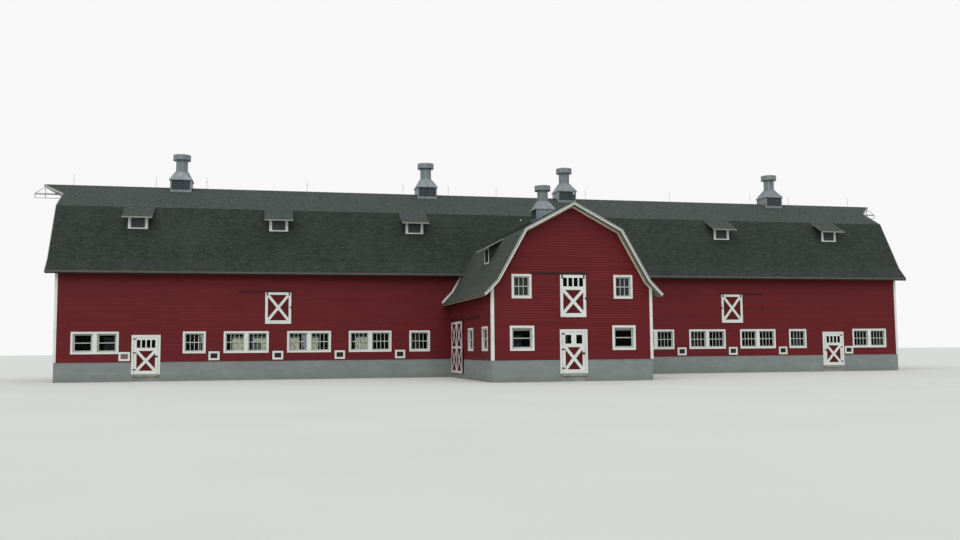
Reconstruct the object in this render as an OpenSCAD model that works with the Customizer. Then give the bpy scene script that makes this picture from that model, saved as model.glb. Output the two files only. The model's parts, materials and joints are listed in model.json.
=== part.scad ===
// A long gambrel-roofed dairy barn with a front wing, as a 1:2 scale model.
// X runs along the barn, the front faces -Y and Z is up from the lowest ground line.
// The origin is in the middle of the footprint's bounding box.

/* [Main barn] */
// Length of the main barn over its gable walls
barn_length = 26980; // [22000:10:32000]
// Width of the main barn over its long walls
barn_width = 5280; // [4800:10:6000]
// Thickness of the framed walls
wall_t = 90; // [60:5:140]
// Height of the ridge above the ground line
ridge_z = 6048; // [5800:1:6600]
// Height of the break between the two slopes
knee_z = 5167; // [4900:1:5300]
// Distance of the break behind the front wall
knee_in = 982; // [800:1:1200]
// Height where the bell-cast eave begins
flare_z = 3506; // [3300:1:3700]
// Distance of the bell-cast start behind the front wall
flare_in = 49; // [20:1:120]
// Height of the eave's upper edge
eave_z = 3130; // [2950:1:3200]
// Overhang of the eave beyond the long walls
eave_over = 299; // [230:1:400]
// Overhang of the roofs beyond the gable walls
gable_over = 256; // [180:1:320]
// Thickness of rafters and sheathing together
roof_t = 60; // [40:5:90]

/* [Hay hoods] */
// Reach of the hay hoods beyond the verge at the ridge
hood_reach = 690; // [400:10:900]
// Half width of a hay hood where it leaves the verge
hood_half = 684; // [400:1:900]

/* [Foundation and floors] */
// Height of the block foundation above the lowest ground
found_h = 550; // [450:5:650]
// Thickness of the block foundation
found_t = 130; // [100:5:180]
// Height of the ground floor's surface
floor_z = 190; // [150:5:240]
// Thickness of the ground floor slab
floor_t = 75; // [50:5:100]
// Height of the loft floor's surface
loft_z = 1620; // [1560:5:1635]
// Thickness of the loft floor
loft_t = 110; // [80:5:140]

/* [Wing] */
// Length of the wing in front of the main barn
wing_length = 5504; // [4600:4:6400]
// Width of the wing over its side walls
wing_width = 4304; // [4000:4:4600]
// Height of the wing's ridge
wing_ridge_z = 4598; // [4500:1:4900]
// Height of the break in the wing's slopes
wing_knee_z = 3901; // [3700:1:4000]
// Half width of the wing's roof at the break
wing_knee_half = 1305; // [1200:1:1400]
// Height where the wing's bell-cast eave begins
wing_flare_z = 2588; // [2500:1:2700]
// Half width of the wing's roof where the bell-cast begins
wing_flare_half = 2050; // [1980:1:2100]
// Height of the wing's eave
wing_eave_z = 2232; // [2150:1:2300]
// Overhang of the wing's eaves
wing_eave_over = 241; // [150:1:300]

/* [Windows] */
// Width of a single window over its casing
win_w = 638; // [560:2:700]
// Height of a window over its casing
win_h = 634; // [560:2:700]
// Width of a pair of windows over its casing
pair_w = 1284; // [1240:2:1400]
// Height of the lower windows' casing above the ground line
win_z = 790; // [740:2:830]
// Width of the casing boards
casing_w = 55; // [40:1:70]
// Width of the sash members
sash_w = 30; // [20:1:40]
// Depth of the sashes behind the wall's outer face
sash_in = 34; // [15:1:45]
// Thickness of the boards that stand on the walls
board_t = 18; // [12:1:24]
// Thickness of the glass
glass_t = 3; // [2:0.5:5]
// Distance between the pairs of windows along the barn
bay = 1814; // [1700:2:1900]
// Distance of the first bay's pair from the single window beside it
bay_to_single = 1464; // [1400:2:1600]
// Distance of the end pairs from the gable walls
end_pair_in = 1080; // [1000:2:1200]
// Distance of the single window beside the wing from its side wall
near_single_out = 948; // [850:2:1100]
// Width of the wing's upper windows
upper_win_w = 521; // [460:1:560]
// Height of the wing's upper windows
upper_win_h = 618; // [560:1:660]
// Height of the upper windows' casing above the ground line
upper_win_z = 2116; // [2060:2:2160]
// Distance of the wing's front windows from its middle
wing_win_x = 1368; // [1280:2:1460]
// Distance of the wing's outer side windows from its front corners
side_win_corner = 745; // [700:1:900]
// Distance between the wing's side windows
side_win_step = 1730; // [1600:1:1800]
// Distance of the gable walls' windows from the ridge line
gable_win_y = 1450; // [1100:10:1700]

/* [Wall vents] */
// Width of a louvred wall vent
vent_w = 308; // [240:2:360]
// Height of a louvred wall vent
vent_h = 252; // [200:2:300]
// Height of the vents above the foundation
vent_up = 40; // [20:1:80]
// Number of blades in a vent
vent_blades = 5; // [3:1:8]

/* [Hinged doors] */
// Distance of the hinged doors from the end pairs of windows
door_to_pair = 1385; // [1380:1:1400]
// Distance of the single windows from the hinged doors
door_to_single = 1325; // [1200:1:1450]
// Width of a door leaf in the main barn
leaf_w = 655; // [560:1:720]
// Width of the wing's door leaf
wing_leaf_w = 605; // [540:1:700]
// Height of a door leaf
leaf_h = 1054; // [980:2:1100]
// Thickness of a door leaf
leaf_t = 28; // [20:1:40]
// Clearance round a door leaf
leaf_gap = 6; // [5:0.5:10]
// Height of the sill under a leaf above the floor
sill_up = 10; // [5:1:25]
// Reach of a doorway's step in front of the foundation
step_out = 45; // [30:5:80]
// Thickness of that step
step_h = 60; // [40:5:90]
// Width of the boards that frame a leaf
stile_w = 74; // [50:1:90]
// Height of the board along a leaf's foot
foot_rail = 100; // [80:1:130]
// Width of the crossed boards
brace_w = 78; // [50:1:95]
// Width of the bars between a leaf's lights
light_bar = 36; // [24:1:50]
// Width of the board between the wing door's two lights
wide_bar = 130; // [60:5:180]
// Height of a leaf's lights
light_h = 225; // [150:5:260]
// Radius of the hinge barrels
barrel_r = 6; // [4:0.5:9]
// Height of a hinge barrel
barrel_h = 16; // [10:1:24]
// Length of a hinge strap on the leaf
strap_w = 78; // [60:1:140]
// Thickness of the straps
strap_t = 4; // [3:0.5:6]

/* [Upper doors] */
// Width of a hay door
hay_w = 751; // [650:1:850]
// Height of a hay door
hay_h = 929; // [820:1:1000]
// Height of the upper doors' lower edge
hay_z = 1640; // [1630:1:1700]
// Width of the wing's upper door
wing_hay_w = 690; // [600:1:760]
// Height of the wing's upper door
wing_hay_h = 1084; // [950:1:1150]
// Reach of the wing's upper rail beyond its door
wing_rail_reach = 750; // [700:10:900]
// Height of a door track
track_h = 36; // [20:1:45]

/* [Sliding door] */
// Width of the sliding door
slider_w = 1600; // [1500:2:1640]
// Height of the sliding door
slider_h = 1500; // [1440:2:1530]
// Height of its lower edge
slider_z = 150; // [130:2:180]
// Distance of its rear edge from the front wall of the main barn
slider_rear = 470; // [300:1:600]
// How far the opening lies inside the door's edges
slider_lap = 50; // [30:1:80]
// Gap between the sliding door and the casings behind it
slider_gap = 7; // [5:0.5:15]
// Length of the sliding door's track
slider_track = 3800; // [3500:10:4200]
// Width of the sliding door's upright boards
slider_stile = 105; // [70:1:130]

/* [Dormers] */
// Distance of the inner dormers' centres from the barn's middle
dormer_near_x = 3160; // [2900:2:3400]
// Distance of the outer dormers from the gable walls
dormer_far_in = 2100; // [1900:2:2400]
// Width of a dormer over its cheeks
dormer_w = 562; // [500:2:700]
// Width of a dormer's corner casings
dormer_casing = 85; // [50:1:100]
// Height of the casing under a dormer's window
dormer_foot = 45; // [30:1:60]
// Width of a dormer's roof
dormer_roof_w = 850; // [760:1:960]
// Reach of the dormer roof in front of the break
dormer_reach = 705; // [650:1:930]
// Distance of a dormer's front from the break
dormer_front = 400; // [350:1:520]
// Thickness of a dormer's roof
dormer_roof_t = 35; // [30:1:60]
// Reach of the wing's dormer roofs
wing_dormer_reach = 600; // [560:2:700]
// Distance of the wing's dormers from the main barn
wing_dormer_y = 3110; // [2900:2:3500]

/* [Ventilators] */
// Distance of the inner ridge ventilators from the barn's middle
vent_near_x = 2450; // [2200:2:2700]
// Distance of the outer ridge ventilators from the gable walls
vent_far_in = 3145; // [2700:5:3600]
// Side of a ventilator's louvred base
base_side = 650; // [560:2:700]
// Number of louvre blades in the base
base_blades = 6; // [4:1:8]
// Depth of the louvre blades
blade_depth = 30; // [18:1:40]
// Side of the hood over the base
hood_side = 712; // [660:1:780]
// Height of the hood's edge above the ridge
hood_z = 205; // [160:1:260]
// Height of the neck's foot above the ridge
neck_z = 518; // [480:2:640]
// Radius of the neck
neck_r = 182; // [150:1:220]
// Height of the cap's lower edge above the ridge
cap_z = 886; // [800:1:960]
// Height of the cap's rim
cap_h = 165; // [140:1:200]
// Radius of the cap
cap_r = 272; // [240:1:310]
// Rise of the cap's crowned top
cap_crown = 30; // [15:1:50]
// Size of the wing's ventilator beside the ridge ones
wing_vent_ratio = 0.83; // [0.7:0.01:1]
// Distance of the wing's ventilator from the main barn
wing_vent_y = 2915; // [2700:5:3200]

/* [Trim] */
// Width of a corner board's faces
corner_w = 60; // [45:1:90]
// Height of a rake board
rake_h = 66; // [60:1:140]
// Height of the boards along a hay hood's edges
hood_board_h = 62; // [60:1:90]
// Height of an eave board
eave_board_h = 36; // [24:1:60]
// Radius of a lightning rod
rod_r = 4; // [3:0.5:8]
// Height of a lightning rod
rod_h = 350; // [250:5:450]
// Distance of the rods from the ventilator that they flank
rod_beside = 775; // [700:5:850]
// Radius of the glass ball on a lightning rod
ball_r = 20; // [12:1:30]

/* [Hidden] */
half_l = barn_length / 2;
half_ww = wing_width / 2;
ridge_y = barn_width / 2;
mid_y = (barn_width + eave_over - wing_length - gable_over) / 2;
verge_x = half_l + gable_over;
far = 40000;
front_line = [[-eave_over, eave_z], [flare_in, flare_z], [knee_in, knee_z], [ridge_y, ridge_z]];
wing_line = [[-half_ww - wing_eave_over, wing_eave_z], [-wing_flare_half, wing_flare_z],
    [-wing_knee_half, wing_knee_z], [0, wing_ridge_z]];
upper_slope = (ridge_z - knee_z) / (ridge_y - knee_in);
wing_upper_slope = (wing_ridge_z - wing_knee_z) / wing_knee_half;
sill_z = floor_z + sill_up;
leaf_z = sill_z + leaf_gap;
head_z = leaf_z + leaf_h + leaf_gap;
jamb_t = 15;
slider_top = slider_z + slider_h;
slider_out = board_t + slider_gap;
rail_z = slider_top + 40;
front_of_wing = -wing_length;
end_pair_x = half_l - end_pair_in;
door_x = end_pair_x - door_to_pair;
single_x = door_x - door_to_single;
side_win_far = wing_length - side_win_corner;
side_win_near = side_win_far - side_win_step;
end_vent_x = end_pair_x - pair_w / 2 - vent_w / 2 - 5;
bay_first_x = single_x - bay_to_single;
near_single_x = half_ww + near_single_out;
hay_x = bay_first_x - bay / 2;
dormer_far_x = half_l - dormer_far_in;
vent_far_x = half_l - vent_far_in;

function run_dir(a, b) = (b - a) / norm(b - a);
function below(a, b) = let(d = run_dir(a, b)) [d[1], -d[0]];
function miter(a, b, c, t) = let(m = below(a, b), n = below(b, c)) b + (m + n) / (1 + m * n) * t;
function plumb(a, b, t) = t / abs(run_dir(a, b)[0]);
// The underside of a roof line that rises to the right, t below its upper side
function under(line, t) = [line[0] - [0, plumb(line[0], line[1], t)],
    miter(line[0], line[1], line[2], t), miter(line[1], line[2], line[3], t),
    line[3] - [0, plumb(line[2], line[3], t)]];
function turned(line) = [for (i = [len(line) - 1:-1:0]) line[i]];
function mirrored(line, at) = [for (p = turned(line)) [2 * at - p[0], p[1]]];
// A whole gambrel section below a line, closed at the height z
function section(line, at, z) = concat([[line[0][0], z]], line, mirrored(line, at),
    [[2 * at - line[0][0], z]]);
function slab(line, t, i, j) = let(u = under(line, t))
    concat([for (k = [i:j]) line[k]], [for (k = [j:-1:i]) u[k]]);

module placed() { translate([0, -mid_y, 0]) children(); }
module along_x(x0, x1) { translate([x0, 0, 0]) rotate([90, 0, 90]) linear_extrude(x1 - x0) children(); }
module along_y(y0, y1) { translate([0, y1, 0]) rotate([90, 0, 0]) linear_extrude(y1 - y0) children(); }
module block(a, b) { translate(a) cube(b - a); }
module both_ends() { children(); mirror([1, 0, 0]) children(); }
module on_front(x, z, y = 0) { translate([x, y, z]) children(); }
module on_back(x, z) { translate([x, barn_width, z]) rotate([0, 0, 180]) children(); }
module on_left(y, z, x) { translate([x, y, z]) rotate([0, 0, -90]) children(); }
module on_right(y, z, x) { translate([x, y, z]) rotate([0, 0, 90]) children(); }

// The room under the main roof, between the inner faces of the walls
module main_core() {
    along_x(-half_l + wall_t, half_l - wall_t) intersection() {
        polygon(section(under(front_line, roof_t), ridge_y, 0));
        translate([wall_t, 0]) square([barn_width - 2 * wall_t, ridge_z]);
    }
}
module wing_outside() {
    along_y(-wing_length - gable_over, ridge_y) polygon(section(wing_line, 0, 0));
}
module wing_core_2d() {
    intersection() {
        polygon(section(under(wing_line, roof_t), 0, 0));
        translate([-half_ww + wall_t, 0]) square([wing_width - 2 * wall_t, wing_ridge_z]);
    }
}

module wall_section() {
    intersection() {
        polygon(section(under(front_line, roof_t), ridge_y, found_h));
        children();
    }
}
module long_wall(x0, x1, y0, z0 = found_h, z1 = ridge_z) {
    along_x(x0, x1) wall_section() translate([y0, z0]) square([wall_t, z1 - z0]);
}

module hole(w, h, units = 1) {
    translate([-w / 2 + casing_w - jamb_t, -1, casing_w - jamb_t])
        cube([w - 2 * (casing_w - jamb_t), wall_t + 2, h - 2 * (casing_w - jamb_t)]);
}
// A window's casing, lining and sashes as one frame; its outer wall face is y = 0
module window_frame(w, h, units = 1) {
    lap = casing_w - jamb_t;
    unit_w = units == 1 ? w - 2 * casing_w : win_w - 2 * casing_w;
    step = units == 1 ? 0 : w - win_w;
    difference() {
        union() {
            translate([-w / 2, -board_t, 0]) cube([w, board_t, h]);
            translate([-w / 2 + lap, 0, lap]) cube([w - 2 * lap, wall_t, h - 2 * lap]);
        }
        for (i = [0:units - 1]) translate([-step / 2 + i * step, 0, casing_w]) {
            translate([-unit_w / 2, -board_t - 1, 0])
                cube([unit_w, board_t + sash_in + 1, h - 2 * casing_w]);
            translate([-unit_w / 2, sash_in + sash_w, 0])
                cube([unit_w, wall_t, h - 2 * casing_w]);
            translate([-unit_w / 2 + sash_w, -1, sash_w])
                cube([unit_w - 2 * sash_w, wall_t + 2, h - 2 * casing_w - 2 * sash_w]);
        }
    }
}
module window_glass(w, h, units = 1) {
    unit_w = units == 1 ? w - 2 * casing_w : win_w - 2 * casing_w;
    step = units == 1 ? 0 : w - win_w;
    for (i = [0:units - 1])
        translate([-step / 2 + i * step - unit_w / 2 + sash_w, sash_in + (sash_w - glass_t) / 2,
            casing_w + sash_w])
            cube([unit_w - 2 * sash_w, glass_t, h - 2 * (casing_w + sash_w)]);
}

// As many bays as fit between the single windows, and at the back as fit beside the middle
front_bays = floor((bay_first_x - near_single_x - (pair_w + win_w) / 2 - 100) / bay);
back_bays = floor((bay_first_x - bay / 2) / bay);
pair_xs = concat([end_pair_x], [for (i = [0:front_bays]) bay_first_x - i * bay]);
back_pair_xs = concat([end_pair_x], [for (i = [0:back_bays]) bay_first_x - i * bay]);
// Calls its children for each window of the front, with $w, $h and $units set
module front_windows(side) {
    for (x = pair_xs) on_front(side * x, win_z) { $w = pair_w; $h = win_h; $units = 2; children(); }
    for (x = side < 0 ? [single_x, near_single_x] : [single_x])
        on_front(side * x, win_z) { $w = win_w; $h = win_h; $units = 1; children(); }
}
module back_windows() {
    for (s = [-1, 1]) {
        for (x = back_pair_xs)
            on_back(s * x, win_z) { $w = pair_w; $h = win_h; $units = 2; children(); }
        on_back(s * single_x, win_z) { $w = win_w; $h = win_h; $units = 1; children(); }
    }
}
module gable_windows() {
    for (y = [ridge_y - gable_win_y, ridge_y + gable_win_y]) {
        $h = win_h;
        on_left(y, win_z, -half_l) { $w = pair_w; $units = 2; children(); }
        on_right(y, win_z, half_l) { $w = pair_w; $units = 2; children(); }
        on_left(y, upper_win_z, -half_l) { $w = win_w; $units = 1; children(); }
        on_right(y, upper_win_z, half_l) { $w = win_w; $units = 1; children(); }
    }
}
module wing_front_windows() {
    for (s = [-1, 1]) {
        on_front(s * wing_win_x, win_z, front_of_wing) { $w = win_w; $h = win_h; $units = 1; children(); }
        on_front(s * wing_win_x, upper_win_z, front_of_wing) {
            $w = upper_win_w; $h = upper_win_h; $units = 1; children();
        }
    }
}
module wing_side_windows() {
    for (y = [-side_win_near, -side_win_far]) {
        $w = win_w; $h = win_h; $units = 1;
        on_left(y, win_z, -half_ww) children();
        on_right(y, win_z, half_ww) children();
    }
}

// The wall vents sit half a bay beside the pairs of windows
vent_xs = concat([end_vent_x], [for (i = [0:front_bays]) bay_first_x + (0.5 - i) * bay]);
module front_vents(side) {
    for (x = side < 0 ? concat(vent_xs, [bay_first_x - (front_bays + 0.5) * bay]) : vent_xs)
        on_front(side * x, found_h + vent_up) children();
}
module vent_hole() {
    lap = casing_w - jamb_t;
    translate([-vent_w / 2 + lap, -1, lap]) cube([vent_w - 2 * lap, wall_t + 2, vent_h - 2 * lap]);
}
module vent_frame() {
    lap = casing_w - jamb_t;
    inner_w = vent_w - 2 * casing_w;
    inner_h = vent_h - 2 * casing_w;
    pitch = inner_h / vent_blades;
    difference() {
        union() {
            translate([-vent_w / 2, -board_t, 0]) cube([vent_w, board_t, vent_h]);
            translate([-vent_w / 2 + lap, 0, lap]) cube([vent_w - 2 * lap, wall_t, vent_h - 2 * lap]);
        }
        translate([-inner_w / 2, -board_t - 1, casing_w]) cube([inner_w, wall_t + board_t + 2, inner_h]);
    }
    for (i = [0:vent_blades - 1])
        translate([0, 0, casing_w + i * pitch]) along_x(-inner_w / 2 - 5, inner_w / 2 + 5)
            polygon([[-board_t / 2, 0.07 * pitch], [pitch, 0.75 * pitch], [pitch, 0.92 * pitch],
                [-board_t / 2, 0.24 * pitch]]);
}

door_cut_w = leaf_w + 2 * (leaf_gap + jamb_t);
wing_cut_w = wing_leaf_w + 2 * (leaf_gap + jamb_t);
slider_y0 = -slider_rear - slider_w + slider_lap;
slider_y1 = -slider_rear - slider_lap;

module foundation_front() {
    color("slategray") placed() both_ends() {
        block([half_ww, 0, 0], [door_x - door_cut_w / 2, found_t, found_h]);
        block([door_x + door_cut_w / 2, 0, 0], [half_l - found_t, found_t, found_h]);
    }
}
module foundation_back() {
    color("slategray") placed() block([-half_l + found_t, barn_width - found_t, 0],
        [half_l - found_t, barn_width, found_h]);
}
module foundation_ends() {
    color("slategray") placed() both_ends()
        block([half_l - found_t, 0, 0], [half_l, barn_width, found_h]);
}
module foundation_wing_front() {
    color("slategray") placed() both_ends()
        block([wing_cut_w / 2, front_of_wing, 0], [half_ww - found_t, front_of_wing + found_t, found_h]);
}
module foundation_wing_sides() {
    color("slategray") placed() {
        block([-half_ww, front_of_wing, 0], [-half_ww + found_t, slider_y0, found_h]);
        block([-half_ww, slider_y1, 0], [-half_ww + found_t, found_t, found_h]);
        block([half_ww - found_t, front_of_wing, 0], [half_ww, found_t, found_h]);
    }
}
// A doorway's stone sill with a step that stands proud of the foundation
module door_sill(w) {
    block([-w / 2, 0, 0], [w / 2, found_t, sill_z]);
    block([-w / 2, -step_out, sill_z - step_h], [w / 2, 0, sill_z]);
}
module door_sills() {
    color("gray") placed() {
        both_ends() on_front(door_x, 0) door_sill(door_cut_w);
        on_front(0, 0, front_of_wing) door_sill(wing_cut_w);
        block([-half_ww, slider_y0, 0], [-half_ww + found_t, slider_y1, sill_z]);
    }
}
module tee_floor(z0, z1, t) {
    block([-half_l + t, t, z0], [half_l - t, barn_width - t, z1]);
    block([-half_ww + t, front_of_wing + t, z0], [half_ww - t, t, z1]);
}
module ground_floor() { color("darkgray") placed() tee_floor(floor_z - floor_t, floor_z, found_t); }
module loft_floor() { color("burlywood") placed() tee_floor(loft_z - loft_t, loft_z, wall_t); }

module hay_hole(w, h) { translate([-w / 2 + 30, -1, 30]) cube([w - 60, wall_t + 2, h - 60]); }
module door_hole(w) { translate([-w / 2, -1, found_h - 1]) cube([w, wall_t + 2, loft_z - loft_t - found_h + 1]); }

module front_wall(side) {
    difference() {
        if (side < 0) long_wall(-half_l + wall_t, -half_ww, 0);
        else long_wall(half_ww, half_l - wall_t, 0);
        front_windows(side) hole($w, $h);
        front_vents(side) vent_hole();
        on_front(side * hay_x, hay_z) hay_hole(hay_w, hay_h);
        on_front(side * door_x, 0) translate([-door_cut_w / 2, -1, found_h - 1])
            cube([door_cut_w, wall_t + 2, ridge_z]);
    }
}
// The front wall goes on above the wing's slopes
module wall_over_wing(side) {
    difference() {
        if (side < 0) long_wall(-half_ww, -wing_knee_half, 0);
        else long_wall(wing_knee_half, half_ww, 0);
        along_y(-1, wall_t + 1) polygon(section(wing_line, 0, 0));
    }
}
module front_walls() {
    color("firebrick") placed() for (side = [-1, 1]) {
        front_wall(side);
        wall_over_wing(side);
    }
}
// The wall over each doorway that opens
module door_heads() {
    color("firebrick") placed() {
        both_ends() long_wall(door_x - door_cut_w / 2, door_x + door_cut_w / 2, 0, head_z + jamb_t);
        block([-wing_cut_w / 2, front_of_wing, head_z + jamb_t],
            [wing_cut_w / 2, front_of_wing + wall_t, loft_z]);
        intersection() {
            along_y(slider_y0, slider_y1) polygon(section(under(wing_line, roof_t), 0, found_h));
            block([-half_ww, slider_y0, slider_top - slider_lap], [-half_ww + wall_t, slider_y1, wing_ridge_z]);
        }
    }
}
module back_wall() {
    color("firebrick") placed() difference() {
        long_wall(-half_l + wall_t, half_l - wall_t, barn_width - wall_t);
        back_windows() hole($w, $h);
    }
}
module gable_walls() {
    color("firebrick") placed() difference() {
        both_ends() along_x(half_l - wall_t, half_l) wall_section()
            translate([0, found_h]) square([barn_width, ridge_z]);
        gable_windows() hole($w, $h);
        on_left(ridge_y, gable_hay_z, -half_l) hay_hole(hay_w, hay_h);
        on_right(ridge_y, gable_hay_z, half_l) hay_hole(hay_w, hay_h);
    }
}
gable_hay_z = knee_z - hay_h;
module wing_side_walls() {
    color("firebrick") placed() difference() {
        intersection() {
            along_y(front_of_wing + wall_t, wall_t) polygon(section(under(wing_line, roof_t), 0, found_h));
            union() for (x = [-half_ww, half_ww - wall_t])
                block([x, front_of_wing, found_h], [x + wall_t, wall_t, wing_ridge_z]);
        }
        block([-half_ww - 1, slider_y0, 0], [-half_ww + wall_t + 1, slider_y1, wing_ridge_z]);
        wing_side_windows() hole($w, $h);
    }
}
module wing_front_2d() {
    intersection() {
        polygon(section(under(wing_line, roof_t), 0, found_h));
        translate([-half_ww, found_h]) square([wing_width, wing_ridge_z]);
    }
}
module wing_front_wall() {
    color("firebrick") placed() difference() {
        both_ends() block([wing_cut_w / 2, front_of_wing, found_h], [half_ww, front_of_wing + wall_t, loft_z]);
        wing_front_windows() hole($w, $h);
    }
}
module wing_gable_wall() {
    color("firebrick") placed() difference() {
        along_y(front_of_wing, front_of_wing + wall_t) intersection() {
            wing_front_2d();
            translate([-half_ww, loft_z]) square([wing_width, wing_ridge_z]);
        }
        wing_front_windows() hole($w, $h);
        on_front(0, hay_z, front_of_wing) hay_hole(wing_hay_w, wing_hay_h);
    }
}

// The plan of the main roof, drawn in at its verges and hay hoods by a board's thickness
module roof_plan(inset) {
    v = verge_x - inset;
    linear_extrude(ridge_z + 1) polygon([[-v, -eave_over], [-v, ridge_y - hood_half],
        [-v - hood_reach, ridge_y], [-v, ridge_y + hood_half], [-v, barn_width + eave_over],
        [v, barn_width + eave_over], [v, ridge_y + hood_half], [v + hood_reach, ridge_y],
        [v, ridge_y - hood_half], [v, -eave_over]]);
}
module roof_slab(i, j, back = false) {
    line = slab(front_line, roof_t, i, j);
    intersection() {
        along_x(-verge_x - hood_reach, verge_x + hood_reach)
            polygon(back ? mirrored(line, ridge_y) : line);
        roof_plan(board_t);
        translate([-far / 2, board_t - eave_over, 0])
            cube([far, barn_width + 2 * (eave_over - board_t), ridge_z + 1]);
    }
}
front_dormers = [-dormer_far_x, -hay_x, -dormer_near_x, hay_x, dormer_far_x];
back_dormers = concat(front_dormers, [dormer_near_x]);
cheek_t = 40;
module dormer_shaft() {
    translate([-dormer_w / 2 + cheek_t, knee_in - dormer_front + cheek_t, 0])
        cube([dormer_w - 2 * cheek_t, dormer_front * 0.6, ridge_z]);
}
module wing_dormer_shaft() {
    translate([-dormer_w / 2 + cheek_t, -wing_knee_half - dormer_front + cheek_t, wing_flare_z])
        cube([dormer_w - 2 * cheek_t, dormer_front * 0.6, wing_ridge_z]);
}
module roof_front_lower() {
    color("darkslategray") placed() difference() {
        roof_slab(0, 2);
        wing_outside();
        for (x = front_dormers) translate([x, 0, 0]) dormer_shaft();
    }
}
module roof_front_upper() { color("darkslategray") placed() roof_slab(2, 3); }
module roof_back_lower() {
    color("darkslategray") placed() difference() {
        roof_slab(0, 2, true);
        for (x = back_dormers) on_back(-x, 0) dormer_shaft();
    }
}
module roof_back_upper() { color("darkslategray") placed() roof_slab(2, 3, true); }

module wing_roof_slab(i, j) {
    line = slab(wing_line, roof_t, i, j);
    difference() {
        intersection() {
            along_y(front_of_wing - gable_over + board_t, ridge_y) { polygon(line); polygon(mirrored(line, 0)); }
            block([-half_ww - wing_eave_over + board_t, front_of_wing - gable_over, 0],
                [half_ww + wing_eave_over - board_t, ridge_y, wing_ridge_z + 1]);
        }
        main_core();
        both_ends() block([half_ww, 0, 0], [half_l, ridge_y, wing_knee_z]);
    }
}
module on_wing_dormers() {
    translate([0, -wing_dormer_y, 0]) {
        rotate([0, 0, -90]) children();
        rotate([0, 0, 90]) children();
    }
}
module wing_roof_lower() {
    color("darkslategray") placed() difference() {
        wing_roof_slab(0, 2);
        on_wing_dormers() wing_dormer_shaft();
    }
}
module wing_roof_upper() { color("darkslategray") placed() wing_roof_slab(2, 3); }

// What a sloping face keeps off the face that it lies on, so that rounding makes no overlap
rounding = 0.01;
// A dormer's roof carries on the upper slope in front of the break at (knee_y, kz)
module dormer_roof_2d(knee_y, kz, slope, reach) {
    drop = dormer_roof_t * sqrt(1 + slope * slope);
    polygon([[knee_y, kz], [knee_y - reach, kz - reach * slope],
        [knee_y - reach, kz - reach * slope - drop], [knee_y, kz - drop]]);
}
module under_dormer_2d(knee_y, kz, slope, front) {
    drop = dormer_roof_t * sqrt(1 + slope * slope) + rounding;
    polygon([[knee_y, kz - drop], [knee_y - front, kz - front * slope - drop],
        [knee_y - front, 0], [knee_y, 0]]);
}
module dormer_roof() {
    along_x(-dormer_roof_w / 2, dormer_roof_w / 2) difference() {
        dormer_roof_2d(knee_in, knee_z, upper_slope, dormer_reach);
        polygon(section(front_line, ridge_y, 0));
    }
}
module wing_dormer_roof() {
    along_x(-dormer_roof_w / 2, dormer_roof_w / 2) difference() {
        dormer_roof_2d(-wing_knee_half, wing_knee_z, wing_upper_slope, wing_dormer_reach);
        polygon(section(wing_line, 0, 0));
    }
}
module dormer_box(y0, w, front, z0, h) {
    difference() {
        along_x(-dormer_w / 2, dormer_w / 2) children();
        translate([-dormer_w / 2 + cheek_t, y0 + cheek_t, 0]) cube([dormer_w - 2 * cheek_t, front, ridge_z]);
        translate([-dormer_w / 2 + dormer_casing, y0 - 1, z0 + dormer_foot])
            cube([dormer_w - 2 * dormer_casing, cheek_t + 2, h - 2 * dormer_foot]);
    }
}
dormer_glass_h = dormer_front * ((knee_z - flare_z) / (knee_in - flare_in) - upper_slope)
    - dormer_roof_t * sqrt(1 + upper_slope * upper_slope);
wing_dormer_glass_h = dormer_front
    * ((wing_knee_z - wing_flare_z) / (wing_flare_half - wing_knee_half) - wing_upper_slope)
    - dormer_roof_t * sqrt(1 + wing_upper_slope * wing_upper_slope);
dormer_foot_z = knee_z - dormer_front * (knee_z - flare_z) / (knee_in - flare_in);
wing_dormer_foot_z = wing_knee_z
    - dormer_front * (wing_knee_z - wing_flare_z) / (wing_flare_half - wing_knee_half);
module dormer_wall() {
    dormer_box(knee_in - dormer_front, dormer_w, dormer_front, dormer_foot_z, dormer_glass_h)
        difference() {
            under_dormer_2d(knee_in, knee_z, upper_slope, dormer_front);
            polygon(section(front_line, ridge_y, 0));
        }
}
module wing_dormer_wall() {
    dormer_box(-wing_knee_half - dormer_front, dormer_w, dormer_front, wing_dormer_foot_z,
        wing_dormer_glass_h)
        difference() {
            under_dormer_2d(-wing_knee_half, wing_knee_z, wing_upper_slope, dormer_front);
            polygon(section(wing_line, 0, 0));
        }
}
module dormer_pane(y0, z0, h) {
    translate([-dormer_w / 2 + dormer_casing, y0 + cheek_t / 2, z0 + dormer_foot])
        cube([dormer_w - 2 * dormer_casing, glass_t, h - 2 * dormer_foot]);
}
module dormer_roofs() {
    color("darkslategray") placed() {
        for (x = front_dormers) translate([x, 0, 0]) dormer_roof();
        for (x = back_dormers) on_back(-x, 0) dormer_roof();
        on_wing_dormers() wing_dormer_roof();
    }
}
module dormer_walls() {
    color("white") placed() {
        for (x = front_dormers) translate([x, 0, 0]) dormer_wall();
        for (x = back_dormers) on_back(-x, 0) dormer_wall();
        on_wing_dormers() wing_dormer_wall();
    }
}

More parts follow.
